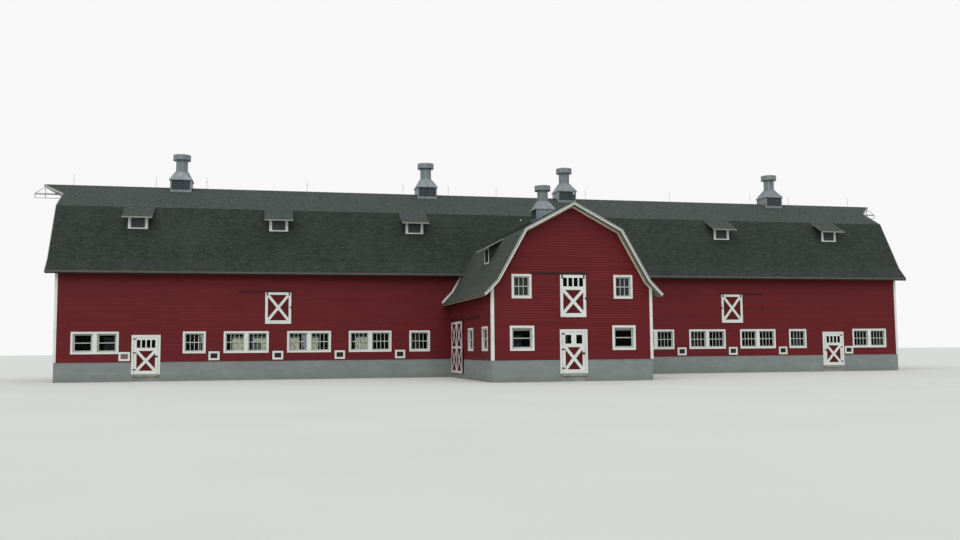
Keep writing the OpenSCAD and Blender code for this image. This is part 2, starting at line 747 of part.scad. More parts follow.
// A sheet-metal ventilator: base astride the ridge with louvres over both slopes, square hood,
// neck and capped drum
module ventilator(size, slope) {
    base = base_side * size;
    deep = blade_depth * size;
    post = 0.065 * base;
    edge = 20 * size;
    foot = neck_r * 1.15;
    louvre_z = 0.11 * base - base / 2 * slope;
    pitch = (hood_z * size - louvre_z) / base_blades;
    difference() {
        union() {
            block([-base / 2, deep - base / 2, -base], [base / 2, base / 2 - deep, hood_z * size]);
            for (x = [-base / 2, base / 2 - post])
                block([x, -base / 2, -base], [x + post, base / 2, hood_z * size]);
            block([-base / 2, -base / 2, -base], [base / 2, base / 2, louvre_z]);
        }
        translate([0, 0, rounding]) along_x(-base, base) polygon([[0, 0], [base, -base * slope],
            [base, -2 * base], [-base, -2 * base], [-base, -base * slope]]);
    }
    for (turn = [0, 180]) rotate([0, 0, turn]) for (i = [0:base_blades - 1])
        translate([0, -base / 2, louvre_z + i * pitch]) along_x(post - base / 2 - 3, base / 2 - post + 3)
            polygon([[2, 0.03 * pitch], [deep + 3, 0.62 * pitch], [deep + 3, 0.87 * pitch], [2, 0.28 * pitch]]);
    translate([0, 0, hood_z * size]) {
        translate([-hood_side * size / 2, -hood_side * size / 2, 0])
            cube([hood_side * size, hood_side * size, edge]);
        hull() {
            translate([-hood_side * size / 2, -hood_side * size / 2, edge])
                cube([hood_side * size, hood_side * size, 0.01]);
            translate([0, 0, (neck_z - hood_z) * size]) cylinder(r = foot * size, h = 0.01, $fn = 24);
        }
    }
    translate([0, 0, neck_z * size]) cylinder(r = neck_r * size, h = (cap_z - neck_z) * size, $fn = 32);
    translate([0, 0, cap_z * size]) {
        cylinder(r = cap_r * size, h = cap_h * size, $fn = 32);
        translate([0, 0, cap_h * size])
            cylinder(r1 = cap_r * size, r2 = cap_r * 0.35 * size, h = cap_crown * size, $fn = 32);
    }
}
module ventilators() {
    color("lightgray") placed() {
        for (x = [-vent_far_x, -vent_near_x, vent_near_x, vent_far_x])
            translate([x, ridge_y, ridge_z]) ventilator(1, upper_slope);
        translate([0, -wing_vent_y, wing_ridge_z]) rotate([0, 0, 90])
            ventilator(wing_vent_ratio, wing_upper_slope);
    }
}

// Rods stand on both sides of each ventilator, between them and at the verges
rod_xs = [0, vent_near_x - rod_beside, vent_near_x + rod_beside, (vent_near_x + vent_far_x) / 2,
    vent_far_x - rod_beside, vent_far_x + rod_beside, verge_x - 0.7 * gable_over];
wing_rod_ys = [-0.0945 * wing_length, -wing_vent_y - rod_beside, front_of_wing - 0.77 * gable_over];
module lightning_rod() {
    cylinder(r = rod_r, h = rod_h, $fn = 16);
    cylinder(r = 2.5 * rod_r, h = 2 * rod_r, $fn = 16);
    translate([0, 0, 0.62 * rod_h]) sphere(r = ball_r, $fn = 16);
}
module lightning_rods() {
    color("silver") placed() {
        for (x = rod_xs) translate([x, ridge_y, ridge_z]) lightning_rod();
        for (x = rod_xs) if (x > 0) translate([-x, ridge_y, ridge_z]) lightning_rod();
        for (y = wing_rod_ys) translate([0, y, wing_ridge_z]) lightning_rod();
    }
}

// The hay carrier's rail and the rod under it, hung from the hood and held by a stay at its tip
rail_drop = 318;
rod_drop = 116;
carrier_out = 260;
module hay_carrier_rails() {
    tip = verge_x + hood_reach;
    end = tip + carrier_out;
    z = ridge_z - rail_drop;
    color("dimgray") placed() both_ends() {
        block([half_l, ridge_y - 15, z], [end, ridge_y + 15, z + 40]);
        block([half_l, ridge_y - 8, z - rod_drop], [end, ridge_y + 8, z - rod_drop + 16]);
        for (x = [half_l + 40, end - 16])
            block([x, ridge_y - 8, z - rod_drop], [x + 16, ridge_y + 8, z + 20]);
        intersection() {
            union() {
                block([tip - 62, ridge_y - 8, z - rod_drop], [tip - 46, ridge_y + 8, ridge_z]);
                hull() {
                    block([end - 18, ridge_y - 6, z + 25], [end - 2, ridge_y + 6, z + 35]);
                    block([tip - 48, ridge_y - 6, ridge_z - 82], [tip - 46, ridge_y + 6, ridge_z - 70]);
                }
            }
            along_x(half_l, end) polygon(section(under(front_line, roof_t), ridge_y, 0));
        }
    }
}

module corner_post(x, y, sx, sy) {
    translate([x, y, 0]) {
        block([sx < 0 ? -board_t : -corner_w, sy < 0 ? -board_t : 0, found_h],
            [sx < 0 ? corner_w : board_t, sy < 0 ? 0 : board_t, ridge_z]);
        block([sx < 0 ? -board_t : 0, sy < 0 ? -board_t : -corner_w, found_h],
            [sx < 0 ? 0 : board_t, sy < 0 ? corner_w : board_t, ridge_z]);
    }
}
module corner_boards() {
    color("white") placed() {
        intersection() {
            for (sx = [-1, 1]) {
                corner_post(sx * half_l, 0, sx, -1);
                corner_post(sx * half_l, barn_width, sx, 1);
            }
            along_x(-verge_x, verge_x) polygon(section(under(front_line, roof_t), ridge_y, found_h));
        }
        intersection() {
            for (sx = [-1, 1]) corner_post(sx * half_ww, front_of_wing, sx, -1);
            along_y(front_of_wing - gable_over, 0) polygon(section(under(wing_line, roof_t), 0, found_h));
        }
    }
}
// A board h deep along both slopes of a roof line, cut square at the eaves
module band_2d(line, at, h) {
    low = under(line, h);
    board = concat(line, [low[3], low[2], low[1], line[0] + below(line[0], line[1]) * h]);
    polygon(board);
    polygon(mirrored(board, at));
}
module rake_boards() {
    color("white") placed() {
        for (s = [-1, 1]) difference() {
            intersection() {
                union() {
                    along_x(-verge_x, verge_x) band_2d(front_line, ridge_y, rake_h);
                    along_x(-verge_x - hood_reach, verge_x + hood_reach)
                        band_2d(front_line, ridge_y, hood_board_h);
                }
                roof_plan(0);
                block([s < 0 ? -far : half_l, -far, 0], [s < 0 ? -half_l : far, far, far]);
            }
            roof_plan(board_t);
        }
        along_y(front_of_wing - gable_over, front_of_wing - gable_over + board_t) band_2d(wing_line, 0, rake_h);
    }
}
module eave_boards() {
    color("tan") placed() {
        difference() {
            for (y = [-eave_over, barn_width + eave_over - board_t])
                block([-verge_x + board_t, y, eave_z - eave_board_h], [verge_x - board_t, y + board_t, eave_z + 2 * board_t]);
            wing_outside();
            along_x(-far / 2, far / 2) difference() {
                translate([-far / 2, 0]) square([far, far]);
                polygon(section(front_line, ridge_y, 0));
            }
        }
        difference() {
            both_ends() block([half_ww + wing_eave_over - board_t, front_of_wing - gable_over + board_t,
                wing_eave_z - eave_board_h],
                [half_ww + wing_eave_over, 0, wing_eave_z + 2 * board_t]);
            along_y(-far / 2, far / 2) difference() {
                translate([-far / 2, 0]) square([far, far]);
                polygon(section(wing_line, 0, 0));
            }
        }
    }
}
flashing_w = 60;
function raised(line, t) = [line[0] + [0, plumb(line[0], line[1], t)],
    miter(line[0], line[1], line[2], -t), miter(line[1], line[2], line[3], -t),
    line[3] + [0, plumb(line[2], line[3], t)]];
module wing_flashing_boards() {
    color("white") placed() along_y(-board_t, 0) difference() {
        polygon(section(raised(wing_line, flashing_w), 0, wing_eave_z - 90));
        polygon(section(wing_line, 0, 0));
        translate([-far / 2, eave_z - 40]) square(far);
        translate([-half_ww, 0]) square([wing_width, wing_eave_z]);
    }
}

module window_frames_main() {
    color("white") placed() {
        front_windows(-1) window_frame($w, $h, $units);
        front_windows(1) window_frame($w, $h, $units);
        back_windows() window_frame($w, $h, $units);
        gable_windows() window_frame($w, $h, $units);
    }
}
module window_frames_wing() {
    color("white") placed() {
        wing_front_windows() window_frame($w, $h, $units);
        wing_side_windows() window_frame($w, $h, $units);
    }
}
module window_glass_main() {
    color("lightblue") placed() {
        front_windows(-1) window_glass($w, $h, $units);
        front_windows(1) window_glass($w, $h, $units);
        back_windows() window_glass($w, $h, $units);
        gable_windows() window_glass($w, $h, $units);
        for (x = front_dormers) translate([x, 0, 0])
            dormer_pane(knee_in - dormer_front, dormer_foot_z, dormer_glass_h);
        for (x = back_dormers) on_back(-x, 0)
            dormer_pane(knee_in - dormer_front, dormer_foot_z, dormer_glass_h);
    }
}
module window_glass_wing() {
    color("lightblue") placed() {
        wing_front_windows() window_glass($w, $h, $units);
        wing_side_windows() window_glass($w, $h, $units);
        on_wing_dormers() dormer_pane(-wing_knee_half - dormer_front, wing_dormer_foot_z, wing_dormer_glass_h);
    }
}
module wall_vents() {
    color("white") placed() {
        front_vents(-1) vent_frame();
        front_vents(1) vent_frame();
    }
}

// A hinged door's casing round a leaf of width w
casing_out = 61;
module door_casing(w) {
    in_w = w + 2 * leaf_gap;
    difference() {
        union() {
            block([-in_w / 2 - casing_out, -board_t, sill_z], [in_w / 2 + casing_out, 0, head_z + casing_out]);
            block([-in_w / 2 - jamb_t, 0, sill_z], [in_w / 2 + jamb_t, wall_t, head_z + jamb_t]);
        }
        block([-in_w / 2, -board_t - 1, sill_z - 1], [in_w / 2, wall_t + 1, head_z]);
    }
}
module door_casings() {
    color("white") placed() {
        both_ends() on_front(door_x, 0) door_casing(leaf_w);
        on_front(0, 0, front_of_wing) door_casing(wing_leaf_w);
    }
}
// The four pockets that two crossed boards leave in a panel w by h, from y0 to y1
module cross_pockets(w, h, y0, y1) {
    translate([0, 0, h / 2]) along_y(y0, y1) difference() {
        square([w, h], center = true);
        for (s = [-1, 1]) rotate(s * atan(h / w)) square([2 * h, brace_w], center = true);
    }
}
panel_t = 12;
// A door with a row of lights over a crossed panel; y = 0 is its outer face
module braced_door(w, h, t, lights, bar, lights_h) {
    in_w = w - 2 * stile_w;
    lower = lights > 0 ? h - lights_h - 2.2 * stile_w : h - stile_w;
    pane_w = (in_w - (lights - 1) * bar) / max(lights, 1);
    difference() {
        block([-w / 2, 0, 0], [w / 2, t, h]);
        translate([0, 0, foot_rail]) cross_pockets(in_w, lower - foot_rail, -1, t - panel_t);
        if (lights > 0) for (i = [0:lights - 1])
            block([-in_w / 2 + i * (pane_w + bar), -1, h - stile_w - lights_h],
                [-in_w / 2 + i * (pane_w + bar) + pane_w, t + 1, h - stile_w]);
    }
}
module door_light_glass(w, h, t, lights, bar, lights_h) {
    in_w = w - 2 * stile_w;
    pane_w = (in_w - (lights - 1) * bar) / lights;
    for (i = [0:lights - 1])
        block([-in_w / 2 + i * (pane_w + bar), t / 2 - glass_t / 2, h - stile_w - lights_h],
            [-in_w / 2 + i * (pane_w + bar) + pane_w, t / 2 + glass_t / 2, h - stile_w]);
}
module upper_door_at() {
    on_front(-hay_x, hay_z) { $w = hay_w; $h = hay_h; $lights = 0; children(); }
    on_front(hay_x, hay_z) { $w = hay_w; $h = hay_h; $lights = 0; children(); }
    on_front(0, hay_z, front_of_wing) { $w = wing_hay_w; $h = wing_hay_h; $lights = 4; children(); }
    on_left(ridge_y, gable_hay_z, -half_l) { $w = hay_w; $h = hay_h; $lights = 0; children(); }
    on_right(ridge_y, gable_hay_z, half_l) { $w = hay_w; $h = hay_h; $lights = 0; children(); }
}
module upper_doors() {
    color("white") placed() upper_door_at() translate([0, -leaf_t, 0])
        braced_door($w, $h, leaf_t, $lights, light_bar, light_h);
}
module upper_door_glass() {
    color("lightblue") placed() on_front(0, hay_z, front_of_wing) translate([0, -leaf_t, 0])
        door_light_glass(wing_hay_w, wing_hay_h, leaf_t, 4, light_bar, light_h);
}
// A rail on the wall with two straps that reach down over the door's face
module track(w, x0, x1, lift) {
    block([x0, -leaf_t - strap_t, lift], [x1, 0, lift + track_h]);
    for (s = [-1, 1])
        block([s * w * 0.425 - 19, -leaf_t - 2 * strap_t, -94], [s * w * 0.425 + 19, -leaf_t, lift + 8]);
}
// The latch at an upper door's edge, and the catch that holds the door when it stands open
module door_latch(w, z) {
    block([w / 2 - 32, -leaf_t - 14, z - 24], [w / 2 + 20, -leaf_t, z + 24]);
    block([w / 2 + 4, -leaf_t, z - 24], [w / 2 + 20, 0, z + 24]);
}
module hold_open(w, z) { block([-1.46 * w - 20, -26, z - 18], [-1.46 * w + 20, 0, z + 18]); }
rail_y = slider_out + leaf_t - 20;
rail_t = 12;
module door_tracks() {
    color("black") placed() {
        both_ends() on_front(hay_x, hay_z) mirror([1, 0, 0]) {
            translate([0, 0, hay_h]) track(hay_w, -hay_w * 1.52, hay_w / 2 + 10, 12);
            door_latch(hay_w, 0.52 * hay_h);
            hold_open(hay_w, 0.53 * hay_h);
        }
        on_front(0, hay_z, front_of_wing) door_latch(wing_hay_w, 0.447 * wing_hay_h);
        on_front(0, hay_z + wing_hay_h, front_of_wing)
            track(wing_hay_w, -wing_hay_w / 2 - wing_rail_reach, wing_hay_w / 2 + 60, 30);
        on_left(ridge_y, gable_hay_z + hay_h, -half_l) track(hay_w, -hay_w * 0.7, hay_w * 0.7, 12);
        on_right(ridge_y, gable_hay_z + hay_h, half_l) track(hay_w, -hay_w * 0.7, hay_w * 0.7, 12);
        on_left(0, rail_z, -half_ww) {
            block([slider_rear - 210, -rail_y - rail_t, 0], [slider_rear - 210 + slider_track, -rail_y, track_h]);
            for (i = [0:4]) translate([slider_rear - 180 + i * (slider_track - 90) / 4, 0, 0])
                block([0, -rail_y, 4], [25, 0, track_h - 4]);
        }
    }
}

module hinged_leaf(w, lights, bar) {
    translate([0, -board_t, leaf_z]) braced_door(w, leaf_h, leaf_t, lights, bar, light_h);
}
module leaf_glass(w, lights, bar) {
    translate([0, -board_t, leaf_z]) door_light_glass(w, leaf_h, leaf_t, lights, bar, light_h);
}
module hinge_zs() { for (z = [0.127, 0.58, 0.955]) translate([0, 0, leaf_z + leaf_h * z]) children(); }
axis_out = board_t + barrel_r;
// Straps and barrels of a door hung at its left edge, and its latch at the right
module hinge_set(w) {
    x0 = -w / 2 - leaf_gap / 2;
    near = x0 + barrel_r + 1;
    tall = 1.35 * barrel_h;
    hinge_zs() {
        translate([x0, -axis_out, -barrel_h / 2]) cylinder(r = barrel_r, h = barrel_h, $fn = 24);
        along_y(-board_t - strap_t, -board_t) polygon([[x0, -barrel_h / 2], [near, -barrel_h / 2],
            [near, -tall], [x0 + strap_w, -barrel_h / 2], [x0 + strap_w, barrel_h / 2], [near, tall],
            [near, barrel_h / 2], [x0, barrel_h / 2]]);
    }
    translate([w / 2 - 40, -board_t, leaf_z + leaf_h * 0.478]) {
        block([-32, -5, -26], [32, 0, 26]);
        translate([0, -4, 0]) rotate([90, 0, 0]) cylinder(r = 11, h = 26, $fn = 24);
    }
}
// The knuckles that the casing carries above and below each leaf's barrel
module frame_knuckles(w) {
    x0 = -w / 2 - leaf_gap / 2;
    near = x0 - barrel_r - 1;
    z0 = barrel_h / 2 + 0.5;
    z1 = z0 + barrel_h / 2;
    hinge_zs() {
        for (z = [-z1, z0]) translate([x0, -axis_out, z]) cylinder(r = barrel_r, h = z1 - z0, $fn = 24);
        along_y(-board_t - strap_t, -board_t)
            polygon([[near - 14, -z1], [x0, -z1], [x0, -z0], [near, -z0], [near, z0], [x0, z0], [x0, z1],
                [near - 14, z1]]);
    }
}
module frame_hinges() {
    color("black") placed() {
        on_front(-door_x, 0) frame_knuckles(leaf_w);
        on_front(door_x, 0) mirror([1, 0, 0]) frame_knuckles(leaf_w);
        on_front(0, 0, front_of_wing) frame_knuckles(wing_leaf_w);
    }
}
module front_left_door() { color("white") placed() on_front(-door_x, 0) hinged_leaf(leaf_w, 4, light_bar); }
module front_left_door_glass() {
    color("lightblue") placed() on_front(-door_x, 0) leaf_glass(leaf_w, 4, light_bar);
}
module front_left_door_hinges() { color("black") placed() on_front(-door_x, 0) hinge_set(leaf_w); }
module front_right_door() { color("white") placed() on_front(door_x, 0) hinged_leaf(leaf_w, 4, light_bar); }
module front_right_door_glass() {
    color("lightblue") placed() on_front(door_x, 0) leaf_glass(leaf_w, 4, light_bar);
}
module front_right_door_hinges() {
    color("black") placed() on_front(door_x, 0) mirror([1, 0, 0]) hinge_set(leaf_w);
}
module wing_door() {
    color("white") placed() on_front(0, 0, front_of_wing) hinged_leaf(wing_leaf_w, 2, wide_bar);
}
module wing_door_glass() {
    color("lightblue") placed() on_front(0, 0, front_of_wing) leaf_glass(wing_leaf_w, 2, wide_bar);
}
module wing_door_hinges() { color("black") placed() on_front(0, 0, front_of_wing) hinge_set(wing_leaf_w); }

// The sliding door has two crossed panels over two more
module wing_sliding_door() {
    pw = (slider_w - 3 * slider_stile) / 2;
    ph = (slider_h - 3 * stile_w) / 2;
    color("mistyrose") placed() on_left(-slider_rear - slider_w / 2, slider_z, -half_ww)
        translate([0, -slider_out - leaf_t, 0]) difference() {
            block([-slider_w / 2, 0, 0], [slider_w / 2, leaf_t, slider_h]);
            for (i = [-1, 1]) for (j = [0, 1])
                translate([i * (pw + slider_stile) / 2, 0, stile_w + j * (ph + stile_w)])
                    cross_pockets(pw, ph, -1, leaf_t - panel_t);
        }
}
// Each hanger is a strap on the door's face with a wheel that rides on the rail
wheel_r = 26;
module sliding_door_hangers() {
    face = slider_out + leaf_t;
    color("black") placed() for (s = [-1, 1])
        on_left(-slider_rear - slider_w / 2 + s * slider_w * 0.36, rail_z + track_h, -half_ww) {
            block([-20, -face - strap_t, -track_h - 130], [20, -face, wheel_r]);
            translate([0, -rail_y - 0.2 * rail_t, wheel_r + 0.3]) rotate([90, 0, 0])
                cylinder(r = wheel_r, h = face - rail_y, $fn = 32);
        }
}

// A small yard lamp over the sliding door
lamp_r = 30;
module wall_lamp() {
    color("silver") placed() on_left(-slider_rear - 0.68 * slider_w, rail_z + 310, -half_ww) {
        block([-24, -14, -34], [24, 0, 34]);
        block([-7, -66, 12], [7, -14, 26]);
        translate([0, -62, -70]) {
            cylinder(r = 0.8 * lamp_r, h = 60, $fn = 24);
            translate([0, 0, 58]) cylinder(r1 = 1.5 * lamp_r, r2 = 0.4 * lamp_r, h = 30, $fn = 24);
        }
    }
}

foundation_front();
foundation_back();
foundation_ends();
foundation_wing_front();
foundation_wing_sides();
door_sills();
ground_floor();
loft_floor();
front_walls();
door_heads();
back_wall();
gable_walls();
wing_side_walls();
wing_front_wall();
wing_gable_wall();
roof_front_lower();
roof_front_upper();
roof_back_lower();
roof_back_upper();
wing_roof_lower();
wing_roof_upper();
dormer_walls();
dormer_roofs();
ventilators();
lightning_rods();
hay_carrier_rails();
corner_boards();
rake_boards();
eave_boards();
wing_flashing_boards();
window_frames_main();
window_frames_wing();
window_glass_main();
window_glass_wing();
wall_vents();
door_casings();
frame_hinges();
upper_doors();
upper_door_glass();
door_tracks();
front_left_door();
front_left_door_glass();
front_left_door_hinges();
front_right_door();
front_right_door_glass();
front_right_door_hinges();
wing_door();
wing_door_glass();
wing_door_hinges();
wing_sliding_door();
sliding_door_hangers();
wall_lamp();
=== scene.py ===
import json
import math
import random

import bmesh
import bpy
from mathutils import Matrix, Vector

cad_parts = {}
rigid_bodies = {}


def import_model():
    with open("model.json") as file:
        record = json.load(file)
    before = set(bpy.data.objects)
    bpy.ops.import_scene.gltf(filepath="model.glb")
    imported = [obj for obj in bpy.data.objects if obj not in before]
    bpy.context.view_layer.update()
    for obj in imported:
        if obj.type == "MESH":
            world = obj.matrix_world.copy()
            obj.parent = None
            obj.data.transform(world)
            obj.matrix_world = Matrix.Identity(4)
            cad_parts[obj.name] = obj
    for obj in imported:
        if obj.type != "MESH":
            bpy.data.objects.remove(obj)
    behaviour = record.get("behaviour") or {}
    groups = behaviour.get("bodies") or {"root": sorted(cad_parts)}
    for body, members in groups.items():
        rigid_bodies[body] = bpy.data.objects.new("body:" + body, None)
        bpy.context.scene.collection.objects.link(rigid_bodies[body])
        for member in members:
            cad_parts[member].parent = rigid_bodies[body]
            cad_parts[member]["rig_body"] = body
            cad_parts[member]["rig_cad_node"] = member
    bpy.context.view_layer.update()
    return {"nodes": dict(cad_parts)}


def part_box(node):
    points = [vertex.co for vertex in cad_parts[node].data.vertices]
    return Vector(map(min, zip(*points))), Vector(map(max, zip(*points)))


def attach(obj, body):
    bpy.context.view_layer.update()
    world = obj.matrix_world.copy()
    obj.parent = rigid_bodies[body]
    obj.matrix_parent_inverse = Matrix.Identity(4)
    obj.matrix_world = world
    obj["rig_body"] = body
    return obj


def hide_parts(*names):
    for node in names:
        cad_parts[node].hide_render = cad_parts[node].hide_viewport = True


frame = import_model()
nodes = frame["nodes"]

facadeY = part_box("front_walls")[0].y
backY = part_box("back_wall")[1].y
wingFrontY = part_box("wing_front_wall")[0].y
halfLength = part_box("gable_walls")[1].x
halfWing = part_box("wing_side_walls")[1].x
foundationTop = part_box("front_walls")[0].z
ridgeY = (facadeY + backY) / 2
millimetre = 0.001
samePlace = 0.00001  # points closer than this are one point
samePlane = 0.0005  # faces closer than this to a wall's plane lie on it
sameSlope = 0.03  # directions that differ by less belong to one slope
rounding = 0.0001  # how far a place may be off after the cuts
print("frame loaded:", len(nodes), "nodes")


# Small helpers for selecting and copying

def deselectAll():
    if bpy.context.mode != "OBJECT":
        bpy.ops.object.mode_set(mode="OBJECT")
    bpy.ops.object.select_all(action="DESELECT")


def makeActive(piece):
    deselectAll()
    piece.select_set(True)
    bpy.context.view_layer.objects.active = piece


def startEditing(piece):
    makeActive(piece)
    bpy.ops.object.mode_set(mode="EDIT")
    bpy.ops.mesh.select_mode(type="FACE")
    return bmesh.from_edit_mesh(piece.data)


def stopEditing(piece):
    bmesh.update_edit_mesh(piece.data)
    bpy.ops.object.mode_set(mode="OBJECT")


def pickFaces(piece, wanted):
    bpy.ops.mesh.select_all(action="DESELECT")
    mesh = bmesh.from_edit_mesh(piece.data)
    picked = 0
    for face in mesh.faces:
        if not face.hide and wanted(face.calc_center_median(), face.normal):
            face.select = True
            picked += 1
    mesh.select_flush_mode()
    return picked


def copyOfNodes(name, nodeNames):
    deselectAll()
    for nodeName in nodeNames:
        nodes[nodeName].select_set(True)
    bpy.context.view_layer.objects.active = nodes[nodeNames[0]]
    bpy.ops.object.duplicate()
    copies = list(bpy.context.selected_objects)
    for piece in copies:
        piece.parent = None
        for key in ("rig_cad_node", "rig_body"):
            if key in piece:
                del piece[key]
    if len(copies) > 1:
        bpy.ops.object.join()
    piece = bpy.context.view_layer.objects.active
    piece.name = piece.data.name = name
    piece.data.materials.clear()
    bpy.ops.mesh.customdata_custom_splitnormals_clear()
    startEditing(piece)
    bpy.ops.mesh.select_all(action="SELECT")
    bpy.ops.mesh.remove_doubles(threshold=samePlace)
    stopEditing(piece)
    return piece


# Joins the triangles of each flat face of the piece that is being edited
def joinTriangles():
    bpy.ops.mesh.select_all(action="SELECT")
    bpy.ops.mesh.dissolve_limited(angle_limit=math.radians(0.2))


def keepFaces(piece, wanted):
    startEditing(piece)
    if pickFaces(piece, lambda centre, normal: not wanted(centre, normal)):
        bpy.ops.mesh.delete(type="FACE")
    joinTriangles()
    stopEditing(piece)


# Cuts the piece that is being edited by planes across an axis
def cutAt(axis, places):
    direction = Vector((1, 0, 0)) if axis == 0 else Vector((0, 1, 0))
    for place in places:
        bpy.ops.mesh.select_all(action="SELECT")
        bpy.ops.mesh.bisect(plane_co=direction * place, plane_no=direction)


def applyModifier(piece, kind, **settings):
    makeActive(piece)
    modifier = piece.modifiers.new(kind.title(), kind)
    for key, value in settings.items():
        setattr(modifier, key, value)
    bpy.ops.object.modifier_apply(modifier=modifier.name)


def dress(piece, material, body="barn", smoothAngle=None):
    piece.data.materials.clear()
    piece.data.materials.append(material)
    if smoothAngle:
        makeActive(piece)
        bpy.ops.object.shade_smooth_by_angle(angle=math.radians(smoothAngle))
    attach(piece, body)


# Materials. The scale of a pattern is worked out from the real width of its spots

def linearColour(hexText):
    channels = [int(hexText[i:i + 2], 16) / 255 for i in (1, 3, 5)]
    linear = [c / 12.92 if c <= 0.04045 else ((c + 0.055) / 1.055) ** 2.4 for c in channels]
    return (*linear, 1.0)


# Adds a node with its settings. An input takes a value, a hex colour, a socket, or a node whose first
# output is meant, and a colour ramp takes its stops as well
def addNode(tree, kind, inputs=None, stops=(), **settings):
    node = tree.nodes.new(kind)
    for key, value in settings.items():
        setattr(node, key, value)
    for key, value in (inputs or {}).items():
        source = value.outputs[0] if isinstance(value, bpy.types.Node) else value
        if isinstance(source, bpy.types.NodeSocket):
            tree.links.new(source, node.inputs[key])
        else:
            node.inputs[key].default_value = linearColour(value) if isinstance(value, str) else value
    if stops:
        elements = node.color_ramp.elements
        while len(elements) < len(stops):
            elements.new(0.5)
        for element, (position, colour) in zip(elements, stops):
            element.position = position
            element.color = linearColour(colour) if isinstance(colour, str) else (colour, colour, colour, 1)
    return node


# A mix node takes its factor at input 0 and its colours at 6 and 7, and gives the colour at output 2
colourMix = {"data_type": "RGBA"}
colourMultiply = {"data_type": "RGBA", "blend_type": "MULTIPLY"}


# How many spots of a width in millimetres lie along a metre, for one width or for one along each axis
def perMetre(*widths):
    counts = [1000 / width for width in widths]
    return counts if len(counts) > 1 else counts[0]


# The length along which a wave texture of scale 1 repeats
waveLength = math.pi / 10


# Gives the new material, its nodes and the piece's own coordinates in metres
def newMaterial(name):
    material = bpy.data.materials.new(name)
    material.use_nodes = True
    material.node_tree.nodes.clear()
    place = addNode(material.node_tree, "ShaderNodeTexCoord").outputs["Object"]
    return material, material.node_tree, place


def finishMaterial(material, surface):
    shader = addNode(material.node_tree, "ShaderNodeBsdfPrincipled", surface)
    addNode(material.node_tree, "ShaderNodeOutputMaterial", {"Surface": shader})
    return material


# A number from -1 to 1 that each board, tab or block carries, moved to 0 to 1
def unitTone(tree):
    tone = addNode(tree, "ShaderNodeAttribute", attribute_name="tone").outputs["Fac"]
    return addNode(tree, "ShaderNodeMapRange", {"Value": tone, "From Min": -1.0, "From Max": 1.0})


# The shadow that each board's butt casts on the board below it
def lapShadow(tree, place):
    parts = addNode(tree, "ShaderNodeSeparateXYZ", {"Vector": place}).outputs
    height = addNode(tree, "ShaderNodeMath", {0: parts["Z"], 1: foundationTop}, operation="SUBTRACT")
    courses = addNode(tree, "ShaderNodeMath", {0: height, 1: siding["exposure"]}, operation="DIVIDE")
    within = addNode(tree, "ShaderNodeMath", {0: courses}, operation="FRACT")
    return addNode(tree, "ShaderNodeValToRGB", {"Fac": within}, [(0.06, 0.82), (0.12, 1.0)])


# Oil barn paint on sawn cedar: a strong dark red, a shade different from board to board
def barnPaint(name="barn_red_oil_paint", dark="#5D181B", light="#661A1E", lapped=True):
    material, tree, place = newMaterial(name)
    tone = addNode(tree, "ShaderNodeMix", {0: unitTone(tree), 6: dark, 7: light}, **colourMix).outputs[2]
    weather = addNode(tree, "ShaderNodeMapping", {"Vector": place, "Scale": perMetre(1111, 1111, 793.7)})
    chalk = addNode(tree, "ShaderNodeTexNoise", {"Vector": weather, "Scale": 1.0, "Detail": 5})
    chalk = addNode(tree, "ShaderNodeValToRGB", {"Fac": chalk}, [(0.5, 0.0), (0.8, 0.1)])
    tone = addNode(tree, "ShaderNodeMix", {0: chalk, 6: tone, 7: "#7A3334"}, **colourMix).outputs[2]
    # the grain runs along a lap board and up a door's board
    fibres = perMetre(166.7, 166.7, 6.25) if lapped else perMetre(11.11, 11.11, 200)
    grain = addNode(tree, "ShaderNodeMapping", {"Vector": place, "Scale": fibres})
    streaks = addNode(tree, "ShaderNodeTexNoise",
                      {"Vector": grain, "Scale": 1.0, "Detail": 4, "Roughness": 0.6})
    streaks = addNode(tree, "ShaderNodeValToRGB", {"Fac": streaks}, [(0.35, 0.9), (0.7, 1.0)])
    tone = addNode(tree, "ShaderNodeMix", {0: 1.0, 6: tone, 7: streaks}, **colourMultiply).outputs[2]
    if lapped:
        shadow = lapShadow(tree, place)
        tone = addNode(tree, "ShaderNodeMix", {0: 1.0, 6: tone, 7: shadow}, **colourMultiply).outputs[2]
    ridges = addNode(tree, "ShaderNodeTexNoise",
                     {"Vector": grain, "Scale": 1.5, "Detail": 5, "Roughness": 0.6})
    relief = addNode(tree, "ShaderNodeBump", {"Height": ridges, "Distance": 0.4 * millimetre})
    return finishMaterial(material, {"Base Color": tone, "Normal": relief, "Roughness": 0.62, "IOR": 1.48,
                                     "Specular IOR Level": 0.18})


# White enamel on planed trim boards: cool white, a little grey where rain has run
def trimPaint(name="white_trim_enamel", fresh="#D0D3CD", worn="#BFC2BB", roughness=0.45):
    material, tree, place = newMaterial(name)
    runs = addNode(tree, "ShaderNodeMapping", {"Vector": place, "Scale": perMetre(555.6, 555.6, 208.3)})
    patches = addNode(tree, "ShaderNodeTexNoise",
                      {"Vector": runs, "Scale": 1.0, "Detail": 6, "Roughness": 0.6})
    patches = addNode(tree, "ShaderNodeValToRGB", {"Fac": patches}, [(0.4, 0.0), (0.75, 0.8)])
    tone = addNode(tree, "ShaderNodeMix", {0: patches, 6: fresh, 7: worn}, **colourMix).outputs[2]
    brushMarks = addNode(tree, "ShaderNodeTexNoise", {"Vector": place, "Scale": perMetre(12.5), "Detail": 4})
    relief = addNode(tree, "ShaderNodeBump", {"Height": brushMarks, "Distance": 0.25 * millimetre})
    return finishMaterial(material, {"Base Color": tone, "Normal": relief, "Roughness": roughness, "IOR": 1.5,
                                     "Specular IOR Level": 0.3})


